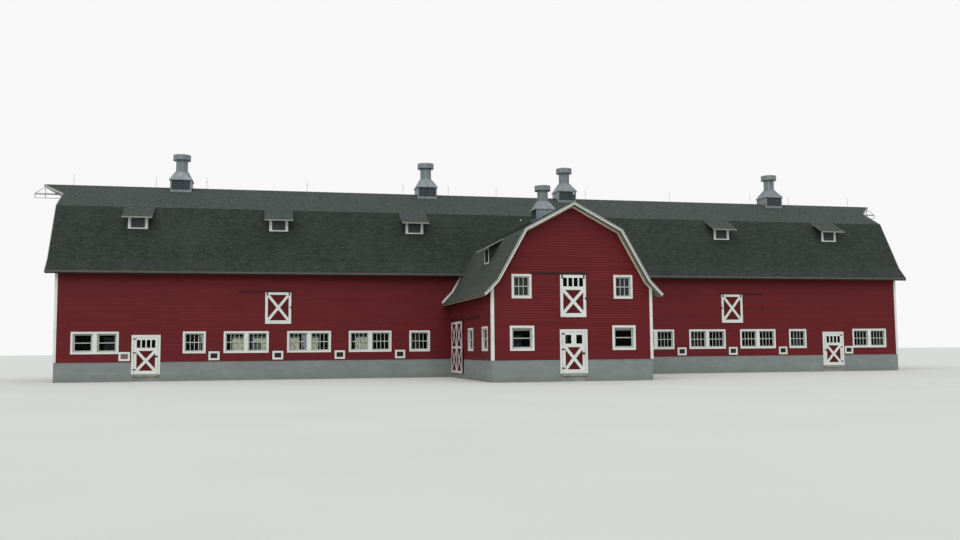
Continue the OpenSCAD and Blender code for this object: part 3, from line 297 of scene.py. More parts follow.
# Asphalt shingles: dark mineral granules, each tab a slightly different batch of grit
def asphaltShingle():
    material, tree, place = newMaterial("asphalt_shingle_granules")
    colour = addNode(tree, "ShaderNodeValToRGB", {"Fac": unitTone(tree)},
                     [(0.0, "#161E19"), (0.5, "#1D2721"), (1.0, "#25302A")])
    # granules of 1 mm are drawn 9 mm wide so that they show
    grit = addNode(tree, "ShaderNodeTexNoise",
                   {"Vector": place, "Scale": perMetre(9.09), "Detail": 2, "Roughness": 0.7})
    shade = addNode(tree, "ShaderNodeValToRGB", {"Fac": grit}, [(0.35, 0.6), (0.65, 1.25)])
    colour = addNode(tree, "ShaderNodeMix", {0: 0.8, 6: colour, 7: shade}, **colourMultiply).outputs[2]
    # light and dark granules are blended in small flecks
    flecks = addNode(tree, "ShaderNodeTexNoise",
                     {"Vector": place, "Scale": perMetre(33.33), "Detail": 1, "Roughness": 0.6})
    flecks = addNode(tree, "ShaderNodeValToRGB", {"Fac": flecks}, [(0.4, 0.5), (0.6, 1.5)])
    colour = addNode(tree, "ShaderNodeMix", {0: 1.0, 6: colour, 7: flecks}, **colourMultiply).outputs[2]
    # painted sky light: the flatter slopes, which face the sky, are painted lighter in patches
    facing = addNode(tree, "ShaderNodeTexCoord").outputs["Normal"]
    lean = addNode(tree, "ShaderNodeSeparateXYZ", {"Vector": facing}).outputs["Z"]
    flat = addNode(tree, "ShaderNodeMapRange",
                   {"Value": lean, "From Min": 0.74, "From Max": 0.86, "To Min": 0.0, "To Max": 0.19})
    patches = addNode(tree, "ShaderNodeTexNoise",
                      {"Vector": place, "Scale": perMetre(62.5), "Detail": 1, "Roughness": 0.6})
    patches = addNode(tree, "ShaderNodeValToRGB", {"Fac": patches}, [(0.4, 0.3), (0.6, 1.7)])
    paintedSkyLight = addNode(tree, "ShaderNodeMath", {0: flat, 1: patches}, operation="MULTIPLY")
    colour = addNode(tree, "ShaderNodeMix", {0: paintedSkyLight, 6: colour, 7: "#5F6663"}, **colourMix).outputs[2]
    runs = addNode(tree, "ShaderNodeMapping", {"Vector": place, "Scale": perMetre(1299, 1299, 3788)})
    stains = addNode(tree, "ShaderNodeTexNoise",
                     {"Vector": runs, "Scale": 1.0, "Detail": 5, "Roughness": 0.6})
    stains = addNode(tree, "ShaderNodeValToRGB", {"Fac": stains}, [(0.5, 0.0), (0.8, 0.3)])
    colour = addNode(tree, "ShaderNodeMix", {0: stains, 6: colour, 7: "#3E403A"}, **colourMix).outputs[2]
    relief = addNode(tree, "ShaderNodeBump", {"Height": grit, "Distance": 1.2 * millimetre})
    return finishMaterial(material, {"Base Color": colour, "Normal": relief, "Roughness": 0.93, "IOR": 1.5,
                                     "Sheen Weight": 0.08, "Sheen Roughness": 0.5, "Sheen Tint": "#B8C4BE"})


# Masonry paint over hollow concrete blocks: grey, chalky, with pitted faces
def blockPaint():
    material, tree, place = newMaterial("grey_masonry_paint")
    colour = addNode(tree, "ShaderNodeValToRGB", {"Fac": unitTone(tree)},
                     [(0.0, "#747B79"), (0.5, "#787F7D"), (1.0, "#7C8381")])
    pits = addNode(tree, "ShaderNodeTexNoise",
                   {"Vector": place, "Scale": perMetre(16.67), "Detail": 6, "Roughness": 0.7})
    shade = addNode(tree, "ShaderNodeValToRGB", {"Fac": pits}, [(0.3, 0.85), (0.55, 1.0)])
    colour = addNode(tree, "ShaderNodeMix", {0: 0.8, 6: colour, 7: shade}, **colourMultiply).outputs[2]
    runs = addNode(tree, "ShaderNodeMapping", {"Vector": place, "Scale": perMetre(1190, 1190, 446.4)})
    patches = addNode(tree, "ShaderNodeTexNoise",
                      {"Vector": runs, "Scale": 1.0, "Detail": 5, "Roughness": 0.6})
    patches = addNode(tree, "ShaderNodeValToRGB", {"Fac": patches}, [(0.5, 0.0), (0.8, 0.5)])
    colour = addNode(tree, "ShaderNodeMix", {0: patches, 6: colour, 7: "#8C928C"}, **colourMix).outputs[2]
    # splashes of rain darken the foot of the wall
    height = addNode(tree, "ShaderNodeSeparateXYZ", {"Vector": place}).outputs["Z"]
    damp = addNode(tree, "ShaderNodeMapRange",
                   {"Value": height, "From Min": 0.0, "From Max": 0.22, "To Min": 0.45, "To Max": 0.0})
    colour = addNode(tree, "ShaderNodeMix", {0: damp, 6: colour, 7: "#63685F"}, **colourMix).outputs[2]
    relief = addNode(tree, "ShaderNodeBump", {"Height": pits, "Distance": 1.5 * millimetre})
    return finishMaterial(material, {"Base Color": colour, "Normal": relief, "Roughness": 0.85, "IOR": 1.5})


# Poured concrete of sills and the slab, worn smooth
def concrete():
    material, tree, place = newMaterial("worn_concrete")
    patches = addNode(tree, "ShaderNodeTexNoise",
                      {"Vector": place, "Scale": perMetre(285.7), "Detail": 8, "Roughness": 0.65})
    colour = addNode(tree, "ShaderNodeValToRGB", {"Fac": patches}, [(0.3, "#6F7069"), (0.7, "#8E8F88")])
    grit = addNode(tree, "ShaderNodeTexNoise", {"Vector": place, "Scale": perMetre(22.22), "Detail": 5})
    relief = addNode(tree, "ShaderNodeBump", {"Height": grit, "Distance": 1.0 * millimetre})
    return finishMaterial(material, {"Base Color": colour, "Normal": relief, "Roughness": 0.8, "IOR": 1.5})


# Rough-sawn softwood of floors, studs and the roof deck seen from inside
def sawnBoards(boardWidth=0.0952):
    material, tree, place = newMaterial("rough_sawn_boards")
    grain = addNode(tree, "ShaderNodeMapping", {"Vector": place, "Scale": perMetre(333.3, 18.18, 18.18)})
    fibres = addNode(tree, "ShaderNodeTexNoise",
                     {"Vector": grain, "Scale": 1.0, "Detail": 6, "Roughness": 0.6})
    colour = addNode(tree, "ShaderNodeValToRGB", {"Fac": fibres}, [(0.3, "#43362A"), (0.7, "#5F4D3A")])
    boards = addNode(tree, "ShaderNodeTexWave", {"Vector": place, "Scale": waveLength / boardWidth,
                                                 "Distortion": 0.0}, bands_direction="Y").outputs["Fac"]
    seams = addNode(tree, "ShaderNodeValToRGB", {"Fac": boards}, [(0.02, 0.35), (0.08, 1.0)])
    colour = addNode(tree, "ShaderNodeMix", {0: 1.0, 6: colour, 7: seams}, **colourMultiply).outputs[2]
    relief = addNode(tree, "ShaderNodeBump", {"Height": fibres, "Distance": 0.8 * millimetre})
    return finishMaterial(material, {"Base Color": colour, "Normal": relief, "Roughness": 0.8, "IOR": 1.5})


# Hot-dipped galvanised sheet: dull blue-grey zinc with spangles and rain streaks
def galvanisedSheet(name="galvanised_sheet", dark="#646D70", light="#889194"):
    material, tree, place = newMaterial(name)
    runs = addNode(tree, "ShaderNodeMapping", {"Vector": place, "Scale": perMetre(71.43, 71.43, 833.3)})
    streaks = addNode(tree, "ShaderNodeTexNoise",
                      {"Vector": runs, "Scale": 1.0, "Detail": 5, "Roughness": 0.6})
    streaks = addNode(tree, "ShaderNodeValToRGB", {"Fac": streaks}, [(0.3, 0.0), (0.7, 1.0)])
    colour = addNode(tree, "ShaderNodeMix", {0: streaks, 6: dark, 7: light}, **colourMix).outputs[2]
    spangles = addNode(tree, "ShaderNodeTexVoronoi", {"Vector": place, "Scale": perMetre(22.22)})
    tint = addNode(tree, "ShaderNodeSeparateColor", {"Color": spangles.outputs["Color"]})
    flakes = addNode(tree, "ShaderNodeValToRGB", {"Fac": tint}, [(0.0, 0.88), (1.0, 1.0)])
    colour = addNode(tree, "ShaderNodeMix", {0: 1.0, 6: colour, 7: flakes}, **colourMultiply).outputs[2]
    dullness = addNode(tree, "ShaderNodeMapRange", {"Value": tint, "To Min": 0.42, "To Max": 0.62})
    return finishMaterial(material, {"Base Color": colour, "Metallic": 0.55, "Roughness": dullness})


# Wrought strap iron under black stove paint, slightly rusty at the edges
def blackIron():
    material, tree, place = newMaterial("black_painted_iron")
    rust = addNode(tree, "ShaderNodeTexNoise",
                   {"Vector": place, "Scale": perMetre(25), "Detail": 6, "Roughness": 0.65})
    colour = addNode(tree, "ShaderNodeValToRGB", {"Fac": rust}, [(0.55, "#0F1012"), (0.8, "#2B1F19")])
    relief = addNode(tree, "ShaderNodeBump", {"Height": rust, "Distance": 0.3 * millimetre})
    return finishMaterial(material, {"Base Color": colour, "Normal": relief, "Roughness": 0.55,
                                     "Specular IOR Level": 0.3})


# Old sheet glass: a thin pane with a grey cast and a slight wave
def windowGlass(name, dark, light, clearness=1.0):
    material, tree, place = newMaterial(name)
    dust = addNode(tree, "ShaderNodeTexNoise",
                   {"Vector": place, "Scale": perMetre(200), "Detail": 5, "Roughness": 0.6})
    colour = addNode(tree, "ShaderNodeValToRGB", {"Fac": dust}, [(0.3, dark), (0.8, light)])
    waves = addNode(tree, "ShaderNodeTexNoise", {"Vector": place, "Scale": perMetre(111.1), "Detail": 2})
    relief = addNode(tree, "ShaderNodeBump", {"Height": waves, "Distance": 0.2 * millimetre, "Strength": 0.3})
    # the thin pane reflects little of an overcast sky, so its index is set low
    return finishMaterial(material, {"Base Color": colour, "Normal": relief, "Roughness": 0.02, "IOR": 1.12,
                                     "Transmission Weight": clearness})


# Cotton curtain, thin enough to let some light through
def curtainCloth(name, dark, light):
    material, tree, place = newMaterial(name)
    folds = addNode(tree, "ShaderNodeMapping", {"Vector": place, "Scale": perMetre(55.56, 55.56, 1000)})
    shade = addNode(tree, "ShaderNodeTexNoise", {"Vector": folds, "Scale": 1.0, "Detail": 4})
    shade = addNode(tree, "ShaderNodeValToRGB", {"Fac": shade}, [(0.3, 0.0), (0.7, 1.0)])
    colour = addNode(tree, "ShaderNodeMix", {0: shade, 6: dark, 7: light}, **colourMix).outputs[2]
    # threads of 0.5 mm are drawn 4 mm wide so that they show
    weave = addNode(tree, "ShaderNodeTexWave", {"Vector": place, "Scale": waveLength / (3.93 * millimetre),
                                                "Distortion": 0.5}, bands_direction="Z").outputs["Fac"]
    relief = addNode(tree, "ShaderNodeBump", {"Height": weave, "Distance": 0.5 * millimetre})
    return finishMaterial(material, {"Base Color": colour, "Normal": relief, "Roughness": 0.9, "IOR": 1.45,
                                     "Sheen Weight": 0.2})


# Each unit shows a face exposure high and boardLength long. Joints counts the places along it where a cut
# may fall, and shift how many of them the next course up is moved by
siding = {
    "exposure": 0.066, "boardLength": 2.44, "joints": 5, "shift": 2,
    "buttLift": 0.0075, "topLift": 0.0015, "jointGap": 0.001, "thickness": 0.006, "unevenness": 0.0003,
}
shingles = {
    "exposure": 0.0635, "boardLength": 0.1525, "joints": 2, "shift": 1,
    "buttLift": 0.0045, "topLift": 0.0008, "jointGap": 0.005, "thickness": 0.003, "unevenness": 0.0009,
}
blocks = {
    "exposure": 0.1015, "boardLength": 0.203, "joints": 2, "shift": 1,
    "buttLift": 0.0022, "topLift": 0.0022, "jointGap": 0.005, "bedGap": 0.005, "thickness": 0.004,
    "unevenness": 0.0004,
}

barnRed = barnPaint()
doorRed = barnPaint("barn_red_door_paint", "#4D0B0D", "#571012", lapped=False)
white = trimPaint()
shingleGrit = asphaltShingle()
blockGrey = blockPaint()
concreteGrey = concrete()
boardWood = sawnBoards()
zinc = galvanisedSheet()
louvreZinc = galvanisedSheet("shaded_louvre_zinc", "#485155", "#5A6367")
iron = blackIron()
darkGlass = windowGlass("old_window_glass", "#585C5E", "#666A6A")
clearGlass = windowGlass("washed_window_glass", "#DCDFDC", "#E4E6E2")
greyGlass = windowGlass("dusty_dormer_glass", "#5E6264", "#6A6E6E", 0.5)
loftGlass = windowGlass("dusty_loft_glass", "#3C4042", "#484C4C", 0.5)
cotton = curtainCloth("cream_cotton_curtain", "#D6D3BC", "#E8E6D4")
lavender = curtainCloth("lavender_cotton_curtain", "#B2AECB", "#CCC9DE")
eavePaint = trimPaint("eave_drip_paint", "#4B4D42", "#404238", 0.6)
fadedPaint = trimPaint("faded_door_paint", "#D6C4C0", "#C0A6A2")
rodMetal = galvanisedSheet("zinc_rod", "#2B2F31", "#3D4244")
sashShadePaint = trimPaint("sash_grey_painted_shade", "#B0B5AC", "#9CA197")
headShadePaint = trimPaint("shaded_head_paint", "#777D74", "#676C63", 0.7)
gapShadePaint = trimPaint("door_gap_painted_shade", "#17130F", "#100D0A", 0.8)
paleVentPaint = trimPaint("faded_vent_paint", "#A98F8B", "#8F7672", 0.7)
ballGlass = trimPaint("white_glass_ball", "#DCDEDA", "#D0D2CE", 0.15)
dormerFascia = trimPaint("dormer_fascia_paint", "#84877F", "#72756D")
fasciaPaint = trimPaint("grey_fascia_paint", "#9A9D95", "#868981")
ventSlatShadePaint = trimPaint("vent_slat_painted_shade", "#3E3E38", "#31312C", 0.8)
trackPaint = trimPaint("brown_track_paint", "#2A1916", "#201210", 0.7)
recessPaint = trimPaint("shaded_recess_paint", "#2E1518", "#221013", 0.8)
railPaint = trimPaint("grey_rail_paint", "#8E9190", "#7B7E7D", 0.6)
lampEnamel = trimPaint("dark_lamp_enamel", "#2B2D2E", "#1F2122", 0.3)
# painted shade: near black for the main eaves' soffits and roof ends, the dormer roofs' undersides and the
# rake's groove
darkShadePaint = trimPaint("dark_brown_painted_shade", "#211C18", "#181410", 0.8)
wingSoffitPaint = trimPaint("olive_soffit_paint", "#7C8070", "#6B6F60", 0.7)
friezeShadePaint = trimPaint("frieze_white_painted_shade", "#C9BFA6", "#B3A98F", 0.6)
wireSteel = galvanisedSheet("curtain_wire_steel", "#8B9296", "#B4B9BB")
print("materials ready")


# Courses of boards, shingles or blocks, laid over the faces of the frame

def uphill(normal):
    flat = Vector((0, 0, 1)) - normal * normal.z
    return flat.normalized()


# The known slope that a face lies on, or a new one of its own
def slopeOf(normal, slopes):
    direction = uphill(normal)
    for known in slopes:
        if (Vector(known) - direction).length < sameSlope:
            return known
    return tuple(direction)


# Cuts every slope into courses, and notes where its lowest course starts and which way is up
def cutCourses(piece, size, bases):
    slopes = {}
    mesh = bmesh.from_edit_mesh(piece.data)
    for face in mesh.faces:
        slopes.setdefault(slopeOf(face.normal, slopes), uphill(face.normal))
    for key, direction in slopes.items():
        bpy.ops.mesh.reveal(select=False)
        pickFaces(piece, lambda centre, normal: slopeOf(normal, slopes) != key)
        bpy.ops.mesh.hide(unselected=False)
        mesh = bmesh.from_edit_mesh(piece.data)
        places = [v.co.dot(direction) for f in mesh.faces if not f.hide for v in f.verts]
        low, high = min(places), max(places)
        bases[key] = (low, direction)
        for index in range(1, math.ceil((high - low) / size["exposure"])):
            bpy.ops.mesh.select_all(action="SELECT")
            bpy.ops.mesh.bisect(plane_co=direction * (low + index * size["exposure"]), plane_no=direction)
    bpy.ops.mesh.reveal(select=False)


# The course that a point lies in; one on a cut is in the course above it
def courseOf(point, normal, size, bases):
    low, direction = bases[slopeOf(normal, bases)]
    return math.floor((point.dot(direction) - low) / size["exposure"] + rounding)


# Closes the cuts at which a course has no joint, and parts the units that are left
def joinUnits(piece, axis, size, bases):
    step = size["boardLength"] / size["joints"]
    bpy.ops.mesh.select_all(action="DESELECT")
    bpy.ops.mesh.select_mode(type="EDGE")
    mesh = bmesh.from_edit_mesh(piece.data)
    for edge in mesh.edges:
        if len(edge.link_faces) != 2:
            continue
        first, second = edge.verts[0].co, edge.verts[1].co
        if abs(first[axis] - second[axis]) > samePlace:
            continue
        index = round(first[axis] / step)
        if abs(first[axis] - index * step) > rounding:
            continue
        course = courseOf((first + second) / 2, edge.link_faces[0].normal, size, bases)
        edge.select = (index + size["shift"] * course) % size["joints"] != 0
    bpy.ops.mesh.dissolve_edges(use_verts=False)
    bpy.ops.mesh.select_all(action="SELECT")
    bpy.ops.mesh.edge_split(type="EDGE")


# Lifts each unit's butt off the wall or roof, opens its joints and gives it a tone
def settleUnits(piece, axis, size, bases, chance):
    mesh = bmesh.from_edit_mesh(piece.data)
    tone = mesh.faces.layers.float.new("tone")
    gap = size["jointGap"] / 2
    bed = size.get("bedGap", 0.0) / 2
    atEdge = 0.02  # the share of a course that counts as its lower or upper edge
    for face in mesh.faces:
        low, direction = bases[slopeOf(face.normal, bases)]
        normal = face.normal.copy()
        start = low + courseOf(face.calc_center_median(), normal, size, bases) * size["exposure"]
        first = min(v.co[axis] for v in face.verts)
        last = max(v.co[axis] for v in face.verts)
        face[tone] = chance.uniform(-1, 1)
        uneven = chance.uniform(0, size["unevenness"])
        for v in face.verts:
            up = min(1, max(0, (v.co.dot(direction) - start) / size["exposure"]))
            if last - first > 3 * size["jointGap"] - samePlace:
                v.co[axis] += gap if v.co[axis] - first < samePlace else 0
                v.co[axis] -= gap if last - v.co[axis] < samePlace else 0
            v.co += direction * (bed if up < atEdge else -bed if up > 1 - atEdge else 0)
            v.co += normal * (size["buttLift"] + uneven + (size["topLift"] - size["buttLift"]) * up)


def layCourses(name, nodeNames, wanted, axis, size, seed):
    piece = copyOfNodes(name, nodeNames)
    keepFaces(piece, wanted)
    mesh = startEditing(piece)
    places = [v.co[axis] for v in mesh.verts]
    step = size["boardLength"] / size["joints"]
    first, last = math.ceil(min(places) / step), math.floor(max(places) / step)
    cutAt(axis, [index * step for index in range(first, last + 1)])
    bases = {}
    cutCourses(piece, size, bases)
    joinUnits(piece, axis, size, bases)
    settleUnits(piece, axis, size, bases, random.Random(seed))
    stopEditing(piece)
    applyModifier(piece, "SOLIDIFY", thickness=size["thickness"], offset=-1.0)
    print(name, len(piece.data.polygons), "faces")
    return piece


def onWall(axis, side, place):
    return lambda centre, normal: normal[axis] * side > 0.99 and abs(centre[axis] - place) < samePlane


def anyOf(*tests):
    return lambda centre, normal: any(test(centre, normal) for test in tests)


wallNodes = ["front_walls", "door_heads", "back_wall", "gable_walls", "wing_side_walls", "wing_front_wall",
             "wing_gable_wall"]
frontsAndBack = anyOf(onWall(1, -1, facadeY), onWall(1, 1, backY), onWall(1, -1, wingFrontY))
allSides = anyOf(onWall(0, -1, -halfLength), onWall(0, 1, halfLength), onWall(0, -1, -halfWing),
                 onWall(0, 1, halfWing))
dress(layCourses("lap_siding_long_walls", wallNodes, frontsAndBack, 0, siding, 11), barnRed)
dress(layCourses("lap_siding_side_walls", wallNodes, allSides, 1, siding, 12), barnRed)

foundationNodes = ["foundation_front", "foundation_back", "foundation_ends", "foundation_wing_front",
                   "foundation_wing_sides"]
dress(layCourses("foundation_block_faces", foundationNodes, frontsAndBack, 0, blocks, 13), blockGrey)
dress(layCourses("foundation_side_block_faces", foundationNodes, allSides, 1, blocks, 14), blockGrey)


def facesUp(centre, normal):
    return normal.z > 0.05


def facesUpAlong(axis):
    return lambda centre, normal: normal.z > 0.05 and abs(normal[axis]) < 0.1


mainSlopes = ["front_lower", "front_upper", "back_lower", "back_upper"]
mainRoofNodes = ["roof_" + slope for slope in mainSlopes]
wingRoofNodes = ["wing_roof_lower", "wing_roof_upper"]
for seed, (slope, nodeName) in enumerate(zip(mainSlopes, mainRoofNodes), 31):
    dress(layCourses("shingles_" + slope, [nodeName], facesUp, 0, shingles, seed), shingleGrit)
for place, nodeNames, wanted, axis, seed in (("wing_slopes", wingRoofNodes, facesUp, 1, 23),
                                             ("dormers", ["dormer_roofs"], facesUpAlong(0), 0, 24),
                                             ("wing_dormers", ["dormer_roofs"], facesUpAlong(1), 1, 25)):
    dress(layCourses("shingles_" + place, nodeNames, wanted, axis, shingles, seed), shingleGrit)


# The faces of a roof that are wanted, cut along the planes where what is wanted begins or ends
def roofSkin(name, nodeNames, facing, cutsX, cutsY, wanted):
    piece = copyOfNodes(name, nodeNames)
    keepFaces(piece, facing)
    startEditing(piece)
    cutAt(0, cutsX)
    cutAt(1, cutsY)
    pickFaces(piece, lambda centre, normal: not wanted(centre, normal))
    bpy.ops.mesh.delete(type="FACE")
    stopEditing(piece)
    return piece


# The underside of a slope leans towards the middle of the building; a mitre at the knee doesn't
def undersideOf(across, middle):
    return lambda centre, normal: normal.z < -0.05 and (middle - centre[across]) * normal[across] > 0


mainUnderside = undersideOf(1, ridgeY)
wingUnderside = undersideOf(0, 0.0)


# Soffit boards close the underside of the eaves and of the gable overhangs
soffit = {"thickness": 0.002}


def outsideMain(centre, normal):
    return abs(centre.x) > halfLength or not facadeY < centre.y < backY


def outsideWing(centre, normal):
    return centre.y < facadeY and (abs(centre.x) > halfWing or centre.y < wingFrontY)


def boardUnder(skin, depth, material, evenEdges=False):
    applyModifier(skin, "SOLIDIFY", thickness=depth, offset=1.0, use_even_offset=evenEdges)
    dress(skin, material)


# the main eaves' soffit boards are painted near black as their shade
boardUnder(roofSkin("soffit_boards_main", mainRoofNodes, mainUnderside, (-halfLength, halfLength),
                    (facadeY, backY), outsideMain), soffit["thickness"], darkShadePaint)
boardUnder(roofSkin("soffit_boards_wing", wingRoofNodes, wingUnderside, (-halfWing, halfWing),
                    (wingFrontY, facadeY), outsideWing), soffit["thickness"], wingSoffitPaint)

# A thin frieze board follows the underside of each gable's overhang, against the wall; its white is painted
# cream as its shade under the overhang
frieze = {"depth": 0.045, "thickness": 0.012}
friezeFrontY = wingFrontY - frieze["thickness"]
friezeEndX = halfLength + frieze["thickness"]


def onWingFront(centre, normal):
    return abs(centre.x) < halfWing and friezeFrontY < centre.y < wingFrontY


def onMainEnds(centre, normal):
    return facadeY < centre.y < backY and halfLength < abs(centre.x) < friezeEndX


boardUnder(roofSkin("frieze_boards_wing", wingRoofNodes, wingUnderside, (-halfWing, halfWing),
                    (friezeFrontY, wingFrontY), onWingFront),
           frieze["depth"], friezeShadePaint, True)
boardUnder(roofSkin("frieze_boards_main", mainRoofNodes, mainUnderside,
                    (-friezeEndX, -halfLength, halfLength, friezeEndX), (facadeY, backY), onMainEnds),
           frieze["depth"], friezeShadePaint, True)
print("soffits and friezes done")

# Ridge caps: bent shingles astride the ridge, each lapping the next
ridgeCap = {"halfWidth": 0.067, "exposure": 0.0635, "butt": 0.0085, "top": 0.0045, "thickness": 0.003,
            "hoodGap": 0.09, "frontGap": 0.01, "intoRoof": 0.3}


def layRidgeCaps(name, nodeNames, axis, low, high):
    across = 1 - axis
    middle = ridgeY if axis == 0 else 0.0
    half = ridgeCap["halfWidth"]
    cuts = {axis: (low, high), across: (middle - half, middle + half)}
    piece = roofSkin(name, nodeNames, facesUp, cuts[0], cuts[1],
                     lambda centre, normal: low < centre[axis] < high and abs(centre[across] - middle) < half)
    startEditing(piece)
    count = round((high - low) / ridgeCap["exposure"])
    step = (high - low) / count
    cutAt(axis, [low + index * step for index in range(1, count)])
    bpy.ops.mesh.select_all(action="DESELECT")
    bpy.ops.mesh.select_mode(type="EDGE")
    mesh = bmesh.from_edit_mesh(piece.data)
    for edge in mesh.edges:
        reach = abs(edge.verts[0].co[axis] - edge.verts[1].co[axis])
        edge.select = len(edge.link_faces) == 2 and reach < samePlace
    bpy.ops.mesh.edge_split(type="EDGE")
    mesh = bmesh.from_edit_mesh(piece.data)
    lifts = {}
    for face in mesh.faces:
        start = low + math.floor((face.calc_center_median()[axis] - low) / step) * step
        for v in face.verts:
            lifts[v] = ridgeCap["butt"] + (ridgeCap["top"] - ridgeCap["butt"]) * (v.co[axis] - start) / step
    for v, lift in lifts.items():
        v.co.z += lift
    stopEditing(piece)
    applyModifier(piece, "SOLIDIFY", thickness=ridgeCap["thickness"], offset=-1.0)
    dress(piece, shingleGrit)


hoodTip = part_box("roof_front_upper")[1].x - ridgeCap["hoodGap"]
layRidgeCaps("ridge_caps_main", ["roof_front_upper", "roof_back_upper"], 0, -hoodTip, hoodTip)
layRidgeCaps("ridge_caps_wing", ["wing_roof_upper"], 1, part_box("wing_roof_upper")[0].y + ridgeCap["frontGap"],
             facadeY + ridgeCap["intoRoof"])
print("ridge caps done")


# The boxes of a node's loose solids, as their lowest and highest corners
def looseBoxes(nodeName):
    copyOfNodes("sorting_copy", [nodeName])
    bpy.ops.object.mode_set(mode="EDIT")
    bpy.ops.mesh.separate(type="LOOSE")
    bpy.ops.object.mode_set(mode="OBJECT")
    boxes = []
    for piece in list(bpy.context.selected_objects):
        places = [v.co for v in piece.data.vertices]
        boxes.append((Vector(min(p[i] for p in places) for i in range(3)),
                      Vector(max(p[i] for p in places) for i in range(3))))
        bpy.data.objects.remove(piece)
    return boxes


def emptyPiece(name):
    deselectAll()
    mesh = bpy.data.meshes.new(name)
    piece = bpy.data.objects.new(name, mesh)
    bpy.context.scene.collection.objects.link(piece)
    return piece


# Adds a bar to the piece that is being edited
def addBar(low, high):
    bpy.ops.mesh.select_all(action="DESELECT")
    middle = [(a + b) / 2 for a, b in zip(low, high)]
    bpy.ops.mesh.primitive_cube_add(size=1, location=middle, scale=[b - a for a, b in zip(low, high)])


# Heights that part the windows of the ground floor from those of the lofts, and the lofts from the dormers
loftsAbove, dormersAbove = 1.8, 2.9
wallDepth = 0.2  # what belongs to a wall lies this close to its face

# Sash bars: slim bars between the lights, which stand out on both sides of the pane
sashBars = {"width": 0.018, "depth": 0.016, "edge": 0.0025, "meetingRail": 0.024, "meetingDepth": 1.3}


# The upright bars between the columns of lights and the meeting rail of the two sashes
def barsAcross(low, high, columns):
    thin = 1 if high.y - low.y < high.x - low.x else 0
    along = 1 - thin
    depth = sashBars["depth"] / 2
    middle = (low[thin] + high[thin]) / 2
    bars = []
    for index in range(1, columns):
        place = low[along] + (high[along] - low[along]) * index / columns
        a, b = Vector(low), Vector(high)
        a[thin], b[thin] = middle - depth, middle + depth
        a[along], b[along] = place - sashBars["width"] / 2, place + sashBars["width"] / 2
        bars.append((a, b))
    a, b = Vector(low), Vector(high)
    centre = (low.z + high.z) / 2
    depth *= sashBars["meetingDepth"]
    a[thin], b[thin] = middle - depth, middle + depth
    a.z, b.z = centre - sashBars["meetingRail"] / 2, centre + sashBars["meetingRail"] / 2
    return bars + [(a, b)]


# The lower panes of the wing's front and of the left end pair have an inner frame; its head is a piece apart,
# painted darker as the shade under the head casing
wingFrontFrame = {"side": 0.012, "head": 0.045, "foot": 0.012, "proud": 0.010}
endPairFrame = {"side": 0.020, "head": 0.022, "foot": 0.016, "proud": 0.010}
endPairX = -11.5  # the front's window pair at the left end lies beyond it


def innerFrame(low, high, widths):
    bars = []
    heads = []
    for place, end, width in ((0, 0, widths["side"]), (0, 1, widths["side"]), (2, 0, widths["foot"]),
                              (2, 1, widths["head"])):
        a, b = Vector(low), Vector(high)
        a.y, b.y = low.y - widths["proud"], high.y + widths["proud"]
        if end:
            a[place] = high[place] - width
        else:
            b[place] = low[place] + width
        if place == 2:
            a.x, b.x = low.x + widths["side"], high.x - widths["side"]
        (heads if place == 2 and end else bars).append((a, b))
    return bars, heads


def barsOfPane(low, high):
    centre = (low + high) / 2
    bars, heads, columns = [], [], 1
    if centre.z > dormersAbove:
        return bars, heads
    if centre.y < wingFrontY + wallDepth and centre.z > loftsAbove:
        columns = 3
    elif centre.y < wingFrontY + wallDepth:
        bars, heads = innerFrame(low, high, wingFrontFrame)
    elif centre.x < endPairX and centre.y < facadeY + wallDepth:
        bars, heads = innerFrame(low, high, endPairFrame)
    elif centre.y > facadeY:
        columns = 4
    return bars + barsAcross(low, high, columns), heads


def barPiece(name, bars, material):
    piece = emptyPiece(name)
    startEditing(piece)
    for a, b in bars:
        addBar(a, b)
    stopEditing(piece)
    applyModifier(piece, "BEVEL", width=sashBars["edge"], segments=1, limit_method="ANGLE")
    dress(piece, material)


def barPieces(place, nodeName):
    bars, heads = [], []
    for low, high in looseBoxes(nodeName):
        paneBars, paneHeads = barsOfPane(low, high)
        bars += paneBars
        heads += paneHeads
    # the sash bars are painted grey as the shade of the window recess
    barPiece("sash_bars_" + place, bars, sashShadePaint)
    barPiece("sash_heads_" + place, heads, headShadePaint)


barPieces("main", "window_glass_main")
barPieces("wing", "window_glass_wing")
print("window bars done")


# Materials on the nodes of the frame

def paint(nodeName, *materials):
    piece = nodes[nodeName]
    piece.data.materials.clear()
    for material in materials:
        piece.data.materials.append(material)


def paintFaces(nodeName, index, wanted):
    piece = nodes[nodeName]
    for polygon in piece.data.polygons:
        if wanted(polygon.center, polygon.normal):
            polygon.material_index = index


for nodeName in wallNodes:
    paint(nodeName, boardWood, barnRed)
    paintFaces(nodeName, 1, anyOf(frontsAndBack, allSides))
for nodeName in foundationNodes:
    paint(nodeName, blockGrey)
for nodeName in ("door_sills", "ground_floor"):
    paint(nodeName, concreteGrey)
paint("loft_floor", boardWood)
# the roof ends beyond the walls take the soffit paints, which on the main roof is painted shade
for nodeNames, outside, edgePaint in ((mainRoofNodes, outsideMain, darkShadePaint),
                                      (wingRoofNodes, outsideWing, wingSoffitPaint)):
    for nodeName in nodeNames:
        paint(nodeName, boardWood, shingleGrit, edgePaint)
        paintFaces(nodeName, 2, outside)
        paintFaces(nodeName, 1, facesUp)
# the dormer roofs' undersides are painted near black as their shade
paint("dormer_roofs", dormerFascia, shingleGrit, darkShadePaint)
paintFaces("dormer_roofs", 1, facesUp)
paintFaces("dormer_roofs", 2, lambda centre, normal: normal.z < -0.2)
paint("dormer_walls", white, shingleGrit)


def dormerCheek(centre, normal):
    return abs(normal.y if centre.y < facadeY else normal.x) > 0.9


